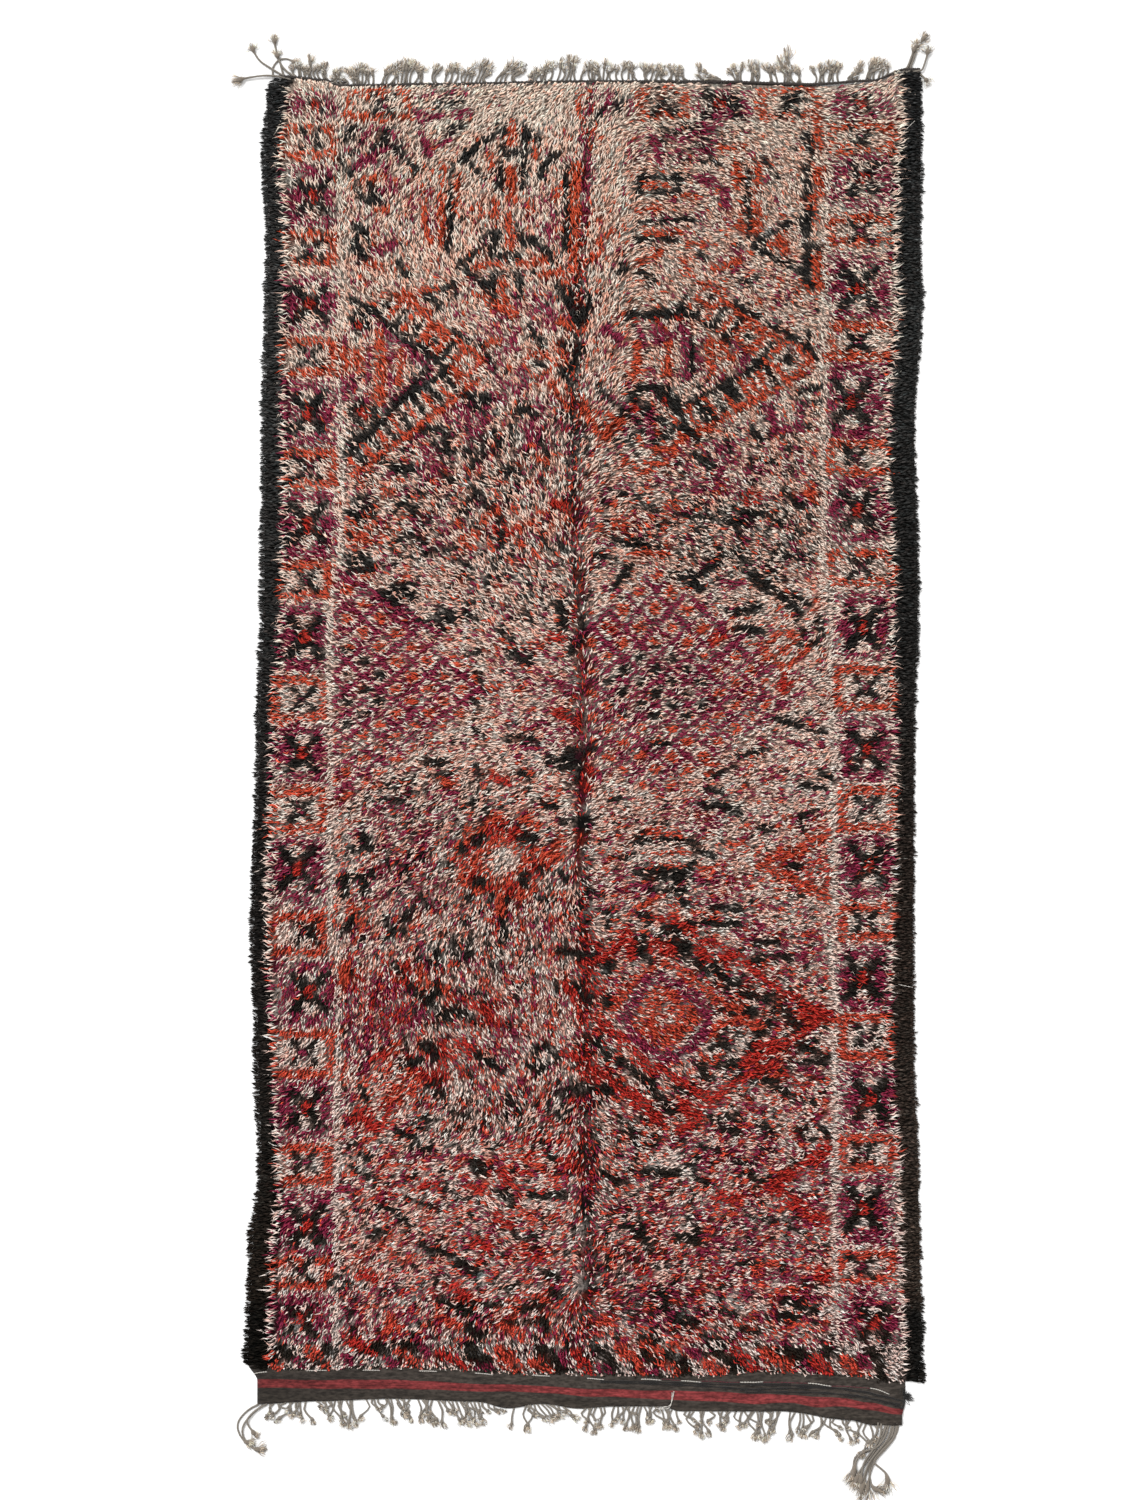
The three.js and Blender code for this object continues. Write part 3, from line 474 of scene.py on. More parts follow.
        (478, 1055, 24, 16), (529, 1066, 12, 4), (536, 1049, 14, -2), (440, 1090, 8, 9),
        (396, 1132, 18, 5), (356, 1158, 11, -2), (353, 1168, 21, 10), (530, 1195, 32, 0),
        (498, 1190, 14, 8), (370, 1236, 14, -3), (432, 1250, 24, 7), (460, 1262, 16, 10),
        (440, 1300, 30, 12), (520, 1308, 22, -2), (550, 1290, 11, 7), (540, 1318, 9, 12),
        (598, 1044, 12, 12), (624, 1060, 18, 20), (612, 1076, 10, 10), (712, 1118, 28, -2),
        (724, 1128, 15, 5), (775, 1086, 17, 11), (800, 1045, 26, 11), (800, 1062, 30, 0),
        (762, 1125, 11, 7), (800, 1130, 12, 8), (822, 1128, 8, 9), (645, 1170, 37, 2), (690, 1164, 7, 14),
        (625, 1225, 17, 4), (640, 1235, 11, 11), (680, 1234, 20, 7), (800, 1305, 16, 7),
        (785, 1300, 15, 1), (782, 1315, 18, 3), (600, 1172, 20, 10), (690, 1222, 10, 8),
    ]),
    (BLACK, 6, [
        (632, 316, 52, 0), (634, 398, 12, 12), (660, 392, 14, 12), (439, 613, 13, 4), (760, 584, 10, 6),
        (648, 874, 38, 1), (640, 943, 6, 7), (680, 943, 8, 3), (428, 1046, 8, 10), (561, 1093, 31, -4),
        (474, 1164, 10, 3), (680, 1316, 14, 8), (468, 1328, 14, 8), (523, 841, 8, -2), (477, 842, 3, -4),
        (477, 882, 5, 1), (522, 878, 2, 4),
    ]),
    (BLACK, 4, [
        (467, 897, 1, 3), (492, 896, 0, 4), (508, 898, 0, 4), (537, 896, 2, 4), (540, 868, 1, 4),
        (462, 848, 0, 4), (411, 986, 4, 8), (448, 864, 4, 2),
    ]),
    (IVORY, 3, [
        (520, 160, -12, 3), (440, 560, 10, 6), (708, 1298, 8, 2), (680, 1226, 10, 0), (686, 1168, 2, 6),
        (640, 857, 52, 1), (640, 848, 46, -2), (655, 1160, 7, -8), (672, 1162, 4, -6), (650, 1164, 30, 0),
        (545, 1055, 5, 5), (360, 1160, 1, 8), (808, 1134, 8, -2),
    ]),
    (RED, 3, [
        (636, 320, 2, 0), (656, 322, 2, 0), (678, 320, 2, 0), (636, 405, 1, 2), (665, 403, 2, 2),
        (361, 413, 2, 3), (505, 524, 1, 6), (359, 324, 1, 1),
    ]),
    (ORANGE, 3.2, [
        (482, 519, 1, 3), (497, 493, 1, 3), (515, 507, 1, 3), (519, 528, 3, 4), (490, 544, 2, 3),
        (520, 543, 2, 3), (474, 534, 4, 2), (496, 508, 2, 4), (532, 524, 3, 2), (470, 546, 4, 2),
        (462, 540, 2, 2), (540, 512, 3, 2), (508, 560, 4, 2), (534, 552, 3, 3), (455, 520, 3, 3),
    ]),
    (BLACK, 4.2, [
        (666, 928, 24, -6), (715, 924, 21, -1), (755, 958, 35, -1), (744, 993, 24, 5, 24, -5),
        (724, 976, 18, 9), (760, 1032, 12, -14), (700, 1066, 6, 12), (720, 1064, 22, -2),
        (762, 1078, 16, 6, 14, 14), (652, 1088, 12, 12), (690, 1094, -10, -6), (668, 1110, 16, -4),
        (620, 1060, 16, 15, 18, 7), (598, 1044, 12, 12), (604, 1088, 9, 6), (790, 1020, 10, 6),
        (776, 1008, 14, 4), (726, 1002, 6, 10), (612, 962, -6, 10), (640, 1100, 10, 10),
        (722, 1040, 8, 12), (744, 1010, 12, 2), (736, 1078, 10, -2), (606, 1000, 6, 8), (704, 963, 14, 7),
        (680, 942, 10, 8), (646, 936, -10, 16),
    ]),
    (BLACK, 6.5, [
        (740, 1036, 10, 14), (700, 962, 16, 6), (634, 940, 12, 10), (682, 944, 8, 4),
    ]),
    (RED, 3.6, [
        (655, 917, 25, 5, 20, 14, 22, 10, 23, 14, 17, 17, 28, 19, 22, 8, 20, 10),
        (832, 1018, -10, 2, -22, 14, -22, 13, -18, 10, -18, 6),
        (775, 1064, -23, 9, -22, 13, -18, 12, -12, 14, -20, 18),
        (586, 1064, 19, 12, 17, 12, 12, 14, 14, 12, 16, 10),
        (586, 1024, 26, 3, 14, 13, 14, 15, 18, 13, 22, 12, 22, 14),
        (588, 968, 10, -8, 14, -7, 10, -9, 4, -14, 7, 12, -1, 15), (756, 1044, 34, -4),
        (744, 1057, 26, -4),
    ]),
    (ORANGE, 3.4, [
        (602, 1016, 16, -10, 8, -12, 14, -14, 16, -14, 8, -6, 12, 8, 16, 8, 14, 14, 16, 10, 16, 8),
        (702, 1036, 18, -12, 22, -5, 22, 8), (738, 1008, 4, 11),
    ]),
    (RED, 6.5, [
        (655, 948, 15, 2), (702, 950, 7, 7), (727, 955, 13, 9), (706, 1096, 6, 6), (640, 1064, 10, 6),
        (806, 1012, 16, 5), (634, 1094, 12, 12), (686, 1106, 12, 12), (588, 966, 4, 6),
    ]),
    (PLUM, 5.2, [
        (636, 1002, 4, -16, 18, -8, 22, 5, 6, 10, 14, 7, 8, 18, -4, 16, -12, 12, -16, 11, -16, -1,
         -14, -8, -14, -14, -8, -16, 12, -16),
    ]),
    (IVORY, 2.6, [
        (738, 1036, 4, 10, 6, -8), (606, 1016, 10, 4), (716, 930, 14, 2), (660, 958, 4, 0),
        (748, 1000, 8, 4),
    ]),
]

# Rings: blunt lozenges, where a wide one and then narrower ones lie on each other
RINGS = [
    # across, down, then half width and dye of each lozenge in turn
    (503, 529, 12, RED, 6, BLACK),
    (466, 364, 16, ORANGE, 10, IVORY, 4, ORANGE),
    (436, 340, 12, ORANGE, 7, IVORY, 3, BLACK),
    (538, 365, 18, ORANGE, 12, IVORY, 5.5, BLACK),
    (711, 298, 16, ORANGE, 9, IVORY, 4, BLACK),
    (748, 338, 15, ORANGE, 9, IVORY, 5, BLACK),
    (789, 361, 24, ORANGE, 16, IVORY, 8, BLACK),
    (605, 424, 17, ORANGE, 10, IVORY, 4, BLACK),
    (650, 462, 16, IVORY, 5, ORANGE),
    (786, 414, 10, IVORY, 4, ORANGE),
    (752, 498, 11, RED, 5, IVORY),
    (733, 262, 14, PLUM, 9, IVORY, 4, ORANGE),
    (785, 649, 24, ORANGE, 15, IVORY, 7, ORANGE),
    (785, 685, 18, IVORY, 11, RED),
    (748, 618, 8, IVORY, 4, ORANGE),
    (614, 628, 9, RED),
    (718, 640, 11, RED, 6, ORANGE),
    (500, 862, 48, RED, 30, ORANGE, 19, IVORY),
    (665, 1017, 52, IVORY, 38, ORANGE, 9, IVORY, 4, RED),
    (713, 1048, 18, ORANGE, 12, IVORY, 6, BLACK),
    (749, 928, 17, PLUM, 9, IVORY, 4, RED),
    (547, 1057, 15, BLACK, 9, IVORY),
    (643, 1092, 9, IVORY, 4, BLACK),
    (788, 1086, 16, RED, 9, IVORY, 4, PLUM),
    (456, 1090, 10, IVORY, 4, ORANGE),
    (362, 414, 15, BLACK, 5, RED),
    (359, 322, 13, BLACK, 4, RED),
    (353, 508, 8, IVORY),
    (347, 588, 8, ORANGE),
    (665, 1157, 14, IVORY, 4, ORANGE),
    (808, 1187, 7, IVORY),
    (690, 1228, 8, IVORY, 3, RED),
    (338, 1283, 12, BLACK, 5, IVORY),
    (661, 336, 7, PLUM),
]

# Blobs of the foot's row, each slanting down to the right
FOOT_BLOBS = [
    # from across, down, to across, down, half width, dye
    (262, 1350, 274, 1362, 6, ORANGE), (283, 1348, 290, 1356, 5, BLACK), (296, 1360, 302, 1364, 4, PLUM),
    (309, 1350, 322, 1362, 6, ORANGE), (326, 1346, 332, 1352, 5, BLACK), (345, 1338, 372, 1352, 5.5, RED),
    (345, 1356, 350, 1363, 4.5, PLUM), (376, 1345, 386, 1352, 5.5, BLACK),
    (385, 1361, 392, 1365, 4, PLUM), (398, 1352, 412, 1362, 4.5, ORANGE),
    (405, 1345, 418, 1350, 5, BLACK), (424, 1347, 430, 1357, 5, PLUM), (438, 1352, 462, 1364, 5, RED),
    (470, 1349, 485, 1361, 7, BLACK), (486, 1366, 492, 1369, 3.5, PLUM),
    (500, 1350, 515, 1365, 6.5, ORANGE), (532, 1362, 549, 1369, 4.5, ORANGE),
    (541, 1349, 560, 1361, 6.5, BLACK), (560, 1352, 566, 1362, 4, PLUM), (576, 1354, 588, 1369, 6.5, RED),
    (595, 1348, 610, 1361, 6, BLACK), (600, 1366, 610, 1371, 3.5, PLUM),
    (622, 1348, 641, 1367, 6, ORANGE), (645, 1352, 656, 1362, 5.5, BLACK),
    (646, 1370, 656, 1373, 3.5, PLUM), (661, 1361, 675, 1370, 4.5, ORANGE),
    (668, 1356, 683, 1361, 6, BLACK), (690, 1350, 705, 1360, 5, PLUM),
    (705, 1361, 722, 1372, 5.5, ORANGE), (716, 1352, 732, 1360, 5, BLACK),
    (735, 1350, 752, 1368, 5.5, RED), (765, 1352, 789, 1367, 6.5, ORANGE),
    (790, 1350, 805, 1357, 7, BLACK), (806, 1364, 813, 1370, 4, PLUM), (815, 1359, 828, 1371, 6.5, RED),
    (825, 1349, 836, 1355, 5, BLACK), (845, 1360, 858, 1372, 6, ORANGE), (860, 1356, 868, 1366, 5, PLUM),
    (872, 1352, 880, 1364, 5, BLACK),
]

# Triangles that point to the rug's left from the right border line
TRIANGLES = [
    # apex across, down, base across, half base, thickness of its sides, side dye, inner dye
    (752, 866, 833, 40, 26, ORANGE, RED),
    (762, 1187, 832, 50, 22, RED, PLUM),
]


def counts(x, y):
    """The chart's counts across and down at points in metres."""
    return MIDDLE[0] + x / COUNT, MIDDLE[1] - y / COUNT


def read_table(table, place, column=1):
    """A table's column at places along its first column: eased from row to row, with the share
    s*s*(3 - 2*s) of the way between two rows."""
    row = np.clip(np.searchsorted(table[:, 0], place) - 1, 0, len(table) - 2)
    low, high = table[row, 0], table[row + 1, 0]
    share = np.clip((place - low) / (high - low), 0, 1)
    share = share * share * (3 - 2 * share)
    return table[row, column] + (table[row + 1, column] - table[row, column]) * share


def pile_shape(x, y):
    """How far each point lies inside the pile's sides and ends, in metres, and its height share:
    1 - (1 - d / roll)**2 near the rim, less a dip along the parting."""
    side = np.minimum(x - read_table(SIDES, y, 1), read_table(SIDES, y, 2) - x)
    end = np.minimum(y - read_table(SHAG_FOOT, x), read_table(HEAD_EDGE, x) - y)
    inside = np.clip(np.minimum(side, end) / RIM_ROLL, 0, 1)
    rise = 1 - (1 - inside) ** 2
    parting = (x - read_table(PARTING, y)) / PARTING_WIDTH
    return side, end, rise * (1 - PARTING_DIP * np.exp(-2 * parting * parting))


def strip_widths(x, y):
    """How wide the dark strip is on each point's side of the rug."""
    return np.where(x < 0, read_table(STRIPS, y, 1), read_table(STRIPS, y, 2))


# The sum of six sines seldom goes past this
NOISE_RANGE = 3.2


def soft_noise(x, y, size, seed):
    """A smooth random field, mostly from -1 to 1: six sine waves of about one size that run in
    different directions, summed over NOISE_RANGE."""
    rng = np.random.default_rng(seed)
    total = np.zeros_like(x)
    waves = zip(rng.uniform(0, math.tau, 6), rng.uniform(0, math.tau, 6), rng.uniform(0.7, 1.5, 6))
    for turn, phase, stretch in waves:
        total += np.sin(math.tau / (size * stretch) * (x * math.cos(turn) + y * math.sin(turn)) + phase)
    return total / NOISE_RANGE


def nap_angle(across, down):
    """The way the locks point: the four nearest entries of NAP, blended as unit arrows in both
    directions of the table."""
    i = np.clip(np.searchsorted(NAP[:, 0], down) - 1, 0, len(NAP) - 2)
    j = np.clip(np.searchsorted(NAP_ACROSS, across) - 1, 0, len(NAP_ACROSS) - 2)
    s = np.clip((down - NAP[i, 0]) / (NAP[i + 1, 0] - NAP[i, 0]), 0, 1)
    t = np.clip((across - NAP_ACROSS[j]) / (NAP_ACROSS[j + 1] - NAP_ACROSS[j]), 0, 1)
    arrows = np.exp(1j * np.radians(NAP[:, 1:]))
    low = arrows[i, j] * (1 - t) + arrows[i, j + 1] * t
    high = arrows[i + 1, j] * (1 - t) + arrows[i + 1, j + 1] * t
    return np.angle(low * (1 - s) + high * s + 1e-6)


def near_bar(a, d, a0, d0, a1, d1, half):
    """Inside a bar: within half a width of the line from one count to the other."""
    run, fall = a1 - a0, d1 - d0
    share = np.clip(((a - a0) * run + (d - d0) * fall) / max(run * run + fall * fall, 1e-9), 0, 1)
    return np.hypot(a - a0 - share * run, d - d0 - share * fall) < half


def border_block(dye, a, d, toss, box, core, kind, lengthwise):
    """One block of the border. A plum block has a dark hourglass with a red core and plum dots
    about it; an orange one is a frame round ivory with a small dark cross."""
    left, right, top, foot = box
    inside = (a > left) & (a < right) & (d > top) & (d < foot)
    u, v = (a - core[0], d - core[1]) if lengthwise else (d - core[1], a - core[0])
    half = (foot - top) / 2 if lengthwise else (right - left) / 2
    width = (right - left) / 2 if lengthwise else (foot - top) / 2
    rim = np.minimum(np.minimum(a - left, right - a), np.minimum(d - top, foot - d))
    if kind == ORANGE:
        dye[inside & (toss < 0.93)] = IVORY
        dye[inside & (toss > 0.80) & (toss < 0.88)] = PEACH
        dye[inside & (rim < 9.0) & (toss < (0.74 if core[1] < 850 else 0.86))] = ORANGE
        arm = (np.abs(np.abs(u) - np.abs(v) * 1.1) < 4.8) & (np.abs(u) < 14) & (np.abs(v) < 13)
        dye[inside & arm & (toss < 0.88)] = BLACK
        dye[inside & (np.hypot(u, v) < 3.5) & (toss < 0.7)] = PLUM
        return
    deep = 0.30 if core[1] < 850 else 0.42
    dye[inside & (toss < deep)] = PLUM
    dye[inside & (toss > deep) & (toss < 0.86)] = IVORY
    near = (np.abs(v) < min(26, half * 0.72)) & (np.abs(u) < 20)
    wings = (np.abs(np.abs(u) - np.abs(v) * 0.82) < 7.2) & near
    dye[inside & wings & (toss < 0.92)] = BLACK
    for side_u, side_v in ((width * 0.62, 0), (-width * 0.62, 0)):
        dot = np.hypot((u - side_u) / 8.0, (v - side_v) / 10.0) < 1
        dye[inside & dot & (toss < 0.85)] = PLUM
    for end in (-1, 1):
        cap = (np.abs(v - end * half * 0.80) < half * 0.17) & (np.abs(u) < width * 0.62)
        dye[inside & cap & (toss < 0.66)] = PLUM
        notch = (np.abs(v - end * half * 0.52) < half * 0.16) & (np.abs(u) < 6)
        dye[inside & notch & (toss < 0.6)] = IVORY
    dye[inside & (np.hypot(u / 4.6, v / 7) < 1) & (toss < 0.95)] = RED


def chart(x, y, rng):
    """The dye of each knot at points in metres, each over the ones before: the mixed ground,
    clouds, lattices, ladders, triangles, the border, the parting's dark wool, the ground of the
    foot's row, rings, strokes, flecks and the foot's blobs."""
    a, d = counts(x, y)
    # Knots are a little uneven, so edges of figures waver
    a = a + 0.8 * soft_noise(x, y, 0.050, 11) + rng.normal(0, 0.3, a.shape)
    d = d + 0.8 * soft_noise(x, y, 0.050, 12) + rng.normal(0, 0.3, a.shape)
    toss = rng.random(a.shape)
    dye = mixed_ground(x, y, d, rng)
    for middle_a, middle_d, half_a, half_d, colour, share in CLOUDS:
        near = np.hypot((a - middle_a) / half_a, (d - middle_d) / half_d) < 1
        patchy = rng.random(a.shape) - 0.35 * soft_noise(x, y, 0.036, 30 + colour)
        dye[near & (patchy < share * 0.8)] = colour
    for lozenge, rows in zip(LATTICES, LATTICE_ROWS):
        lattice(dye, a, d, toss, *lozenge, *rows)
    for band in LADDERS:
        ladder(dye, a, d, toss, *band)
    for apex_a, apex_d, base_a, half_base, thick, side_dye, inner_dye in TRIANGLES:
        share = (a - apex_a) / (base_a - apex_a)
        inside = (share > 0) & (share < 1) & (np.abs(d - apex_d) < share * half_base)
        core = (a - apex_a > thick) & (np.abs(d - apex_d) < (share - thick / (base_a - apex_a)) * half_base)
        dye[inside & ~core & (toss < 0.78)] = side_dye
        dye[inside & core & (toss < 0.30)] = inner_dye
    border(dye, a, d, toss)
    off = np.abs(a - MIDDLE[0] - read_table(PARTING, (MIDDLE[1] - d) * COUNT) / COUNT)
    crease = off < read_table(CREASE, d) * rng.uniform(0.5, 1.5, a.shape)
    level = np.cumsum(np.stack([read_table(CREASE, d, k) for k in (2, 3, 4, 5)]), axis=0)
    pick = (rng.random(a.shape)[None, :] > level).sum(axis=0)
    dye = np.where(crease, np.array([BLACK, RED, PLUM, ORANGE, IVORY])[pick], dye)
    foot_row = (d > 1342) & (a > 258) & (a < 905)
    dye[foot_row & (toss < 0.50)] = IVORY
    dye[foot_row & (toss > 0.76)] = BLACK
    figure = np.zeros(a.shape, bool)
    for middle_a, middle_d, *rings in RINGS:
        size = np.abs(a - middle_a) + np.abs(d - middle_d) * 1.1
        for half, colour in zip(rings[::2], rings[1::2]):
            part = (size < half * 1.12) & (toss < (0.84 if half < 30 else 0.70))
            dye[part] = colour
            figure |= part
    for colour, half, chains in STROKES:
        for chain in chains:
            points = np.cumsum(np.reshape(chain, (-1, 2)), axis=0)
            for start, end in zip(points, points[1:]):
                part = near_bar(a, d, *start, *end, half + 0.3) & (toss < 0.98)
                dye[part] = colour
                figure |= part
    fleck = rng.random(a.shape)
    dye[figure & (fleck < np.where(dye == PLUM, 0.12, 0.04))] = IVORY
    dye[figure & (fleck > np.where(dye == BLACK, 0.99, 0.96))] = PEACH
    dye[fleck < np.interp(d, [70, 104, 135, 280, 380], [0.50, 0.28, 0.16, 0.06, 0.0])] = IVORY
    edge = MIDDLE[1] - read_table(SHAG_FOOT, x) / COUNT
    for a0, d0, a1, d1, half, colour in FOOT_BLOBS:
        blob = near_bar(a, d, a0, d0, a1, d1, half)
        if d1 > 1358 and colour != PLUM:
            blob |= (np.abs(a - a1 - 2) < half * 0.9) & (d > d1) & (d < edge + 6)
        dye[blob & (toss < 0.84)] = colour
    return dye


def mixed_ground(x, y, d, rng):
    """The mixed ground: each knot takes the dye of the highest score, which is the logarithm of
    the dye's share, plus two smooth fields of its own that make patches a few knots wide, plus
    chance."""
    scores = []
    for k, patchy in enumerate(PATCHINESS):
        chance = -np.log(-np.log(rng.uniform(1e-6, 1 - 1e-6, x.shape)))
        scores.append(np.log(read_table(GROUND, d, k + 1) + 1e-3) + patchy * soft_noise(x, y, 0.026, 60 + k)
                      + 0.5 * patchy * soft_noise(x, y, 0.065, 80 + k) + GROUND_CHANCE * chance)
    return np.argmax(np.stack(scores), axis=0)


def lattice(dye, a, d, toss, middle_a, middle_d, half_a, half_d, column, step, down, rows):
    """A lozenge filled with slanting plum lines. Columns are a step apart and rows are numbered
    down it; a dot sits where both are even or both are odd, and a line runs between dots."""
    size = np.abs(a - middle_a) / half_a + np.abs(d - middle_d) / half_d
    crease = MIDDLE[0] + read_table(PARTING, (MIDDLE[1] - d) * COUNT) / COUNT
    mine = (a - crease) * (middle_a - MIDDLE[0]) > 0
    inside = (size < 1) & mine
    across, row = (a - column) / step, np.interp(d, down, rows)
    s, t = (across + row) / 2, (across - row) / 2
    to_dot = np.hypot(s - np.round(s), t - np.round(t))
    to_line = np.minimum(0.5 - np.abs(s - np.round(s)), 0.5 - np.abs(t - np.round(t)))
    dye[inside & (toss < 0.97)] = IVORY
    dye[inside & (toss > 0.88) & (toss < 0.97)] = PEACH
    dye[inside & (to_line < LINE_REACH) & (toss < 0.92)] = PLUM
    inner = np.hypot((a - middle_a) / half_a, (d - middle_d) / half_d) < 0.36
    dye[inside & (to_dot < DOT_REACH) & ~inner & (toss < 0.9)] = ORANGE
    dye[inside & (to_dot < DOT_REACH) & inner & (toss < 0.9)] = BLACK


def ladder(dye, a, d, toss, a0, d0, a1, d1, half, head_side, foot_side):
    """A band from one count to another: its two edges where the distance from its middle line is
    over 0.7 of the half width, and rungs in turn along it."""
    run, fall = a1 - a0, d1 - d0
    length = math.hypot(run, fall)
    along = ((a - a0) * run + (d - d0) * fall) / length
    off = ((a - a0) * -fall + (d - d0) * run) / length
    inside = (along > 0) & (along < length) & (np.abs(off) < half) & (toss < 0.95)
    rung = (along - 13.5) / 19.5 % 1
    dye[inside] = IVORY
    dye[inside & (np.abs(rung - 0.33) < 0.14)] = BLACK
    dye[inside & (np.abs(rung - 0.83) < 0.13)] = ORANGE
    dye[inside & (off < -0.70 * half)] = head_side
    dye[inside & (off > 0.70 * half)] = foot_side


# The thin ivory lines between border and field, and where the blocks beside them stop: counts
# down, then counts across
LINE_LEFT = ([86, 560, 600, 940, 960, 1340], [341, 341, 330, 330, 338, 336])
STOP_LEFT = ([86, 560, 600, 940, 960, 1340], [338, 338, 327, 327, 334, 332])
LINE_RIGHT = ([86, 380, 560, 600, 740, 750, 1340], [826, 823, 823, 831, 831, 835, 835])
STOP_RIGHT = ([86, 380, 560, 600, 740, 750, 1340], [829, 826, 826, 834, 834, 838, 838])


def border(dye, a, d, toss):
    """The border of plum and orange blocks with thin ivory lines between them."""
    line_left = np.interp(d, *LINE_LEFT)
    line_right = np.interp(d, *LINE_RIGHT)
    in_sides = (a < line_left) | (a > line_right)
    in_head = (d < 124) & ~in_sides
    dye[(in_sides | in_head) & (toss < 0.75)] = IVORY
    for k, (top, foot, core_a, core_d) in enumerate(LEFT_BLOCKS):
        box = (276 - 0.010 * (core_d - 90), np.interp(core_d, *STOP_LEFT), top, foot)
        border_block(dye, a, d, toss, box, (core_a, core_d), (PLUM, ORANGE)[k % 2], True)
    for k, (top, foot, core_a, core_d) in enumerate(RIGHT_BLOCKS):
        box = (np.interp(core_d, *STOP_RIGHT), 898, top, foot)
        border_block(dye, a, d, toss, box, (core_a, core_d), (PLUM, ORANGE)[k % 2], True)
    for start, end, core_a, kind in HEAD_BLOCKS:
        border_block(dye, a, d, toss, (start, end, 88, 122), (core_a, 105), kind, False)
    wide = np.interp(d, [86, 330, 1340], [4.2, 4.0, 3.4])
    lines = (np.abs(a - line_left) < wide) | (np.abs(a - line_right) < wide)
    dye[lines & (toss < 0.95) & (d < 1343)] = IVORY
    dye[(np.abs(d - 125) < 4) & (a > line_left) & (a < line_right) & (toss < 0.9)] = IVORY


# Wool of the dark strips by y: greyer at the head, brown below the middle, black at the foot
STRIP_WOOL = np.array([
    # y, red, green and blue on the left, then on the right
    (-1.84, 0.006, 0.005, 0.004, 0.011, 0.010, 0.009),
    (-1.66, 0.007, 0.006, 0.005, 0.012, 0.011, 0.010),
    (-1.58, 0.016, 0.012, 0.009, 0.044, 0.032, 0.025),
    (-1.10, 0.017, 0.014, 0.012, 0.042, 0.031, 0.025),
    (-0.50, 0.015, 0.013, 0.012, 0.030, 0.022, 0.018),
    (0.30, 0.026, 0.025, 0.024, 0.023, 0.022, 0.021),
    (1.10, 0.036, 0.036, 0.035, 0.033, 0.033, 0.032),
    (1.80, 0.024, 0.024, 0.024, 0.022, 0.022, 0.022),
])


def dyed(dye, x, y, rng, spread=0.16):
    """Linear colours of knots: the dye's colour at its place between head and foot, brighter or
    duller by a random share, and a little redder or greyer."""
    share = np.clip((1.8 - y) / 3.6, 0, 1)[:, None]
    colour = DYES_AT_HEAD[dye] * (1 - share) + DYES_AT_FOOT[dye] * share
    for k in range(3):
        wool = np.where(x < 0, read_table(STRIP_WOOL, y, 1 + k), read_table(STRIP_WOOL, y, 4 + k))
        colour[:, k] = np.where(dye == CHARCOAL, wool, colour[:, k])
    light = np.exp(rng.normal(0, spread, len(dye)) * np.where(dye == CHARCOAL, 2.4, 1.0))[:, None]
    warm = (rng.normal(0, 0.05, len(dye)) * np.where(dye < 2, 1.7, 1.0))[:, None]
    tint = warm * np.array([[0.5, -0.7, -1.0]])
    return np.clip(colour * light * (1 + tint), 0.002, 0.95)


def put_mesh(name, points, faces, sizes, uv=None, smooth=True):
    """A mesh object from whole arrays: points, the corners of all faces in a row, and how many
    corners each face has."""
    mesh = bpy.data.meshes.new(name)
    mesh.vertices.add(len(points))
    mesh.vertices.foreach_set("co", np.asarray(points, np.float32).ravel())
    mesh.loops.add(len(faces))
    mesh.loops.foreach_set("vertex_index", np.asarray(faces, np.int32))
    starts = np.concatenate([[0], np.cumsum(sizes)[:-1]])
    mesh.polygons.add(len(sizes))
    mesh.polygons.foreach_set("loop_start", np.asarray(starts, np.int32))
    mesh.polygons.foreach_set("use_smooth", np.full(len(sizes), smooth))
    if uv is not None:
        layer = mesh.uv_layers.new(name="OFBake")
        layer.data.foreach_set("uv", np.asarray(uv, np.float32).ravel())
    mesh.update(calc_edges=True)
    piece = bpy.data.objects.new(name, mesh)
    bpy.context.scene.collection.objects.link(piece)
    return piece


def give(piece, name, values, kind="FLOAT"):
    """A named attribute on the piece's points: a number each, or a colour each."""
    layer = piece.data.attributes.new(name, kind, "POINT")
    if kind == "FLOAT":
        layer.data.foreach_set("value", np.asarray(values, np.float32))
    else:
        full = np.ones((len(values), 4), np.float32)
        full[:, :3] = values
        layer.data.foreach_set("color", full.ravel())


# Lock faces: root point 0, a ring of three at the belly, tip point 4
LOCK_FACES = np.array([0, 2, 1, 0, 3, 2, 0, 1, 3, 1, 2, 4, 2, 3, 4, 3, 1, 4])
LOCK_UV = np.array([
    (0, 0.5), (0.5, 1), (0.5, 0), (0, 1.5), (0.5, 2), (0.5, 1), (0, 2.5), (0.5, 2), (0.5, 3),
    (0.5, 0), (0.5, 1), (1, 0.5), (0.5, 1), (0.5, 2), (1, 1.5), (0.5, 2), (0.5, 3), (1, 2.5),
])


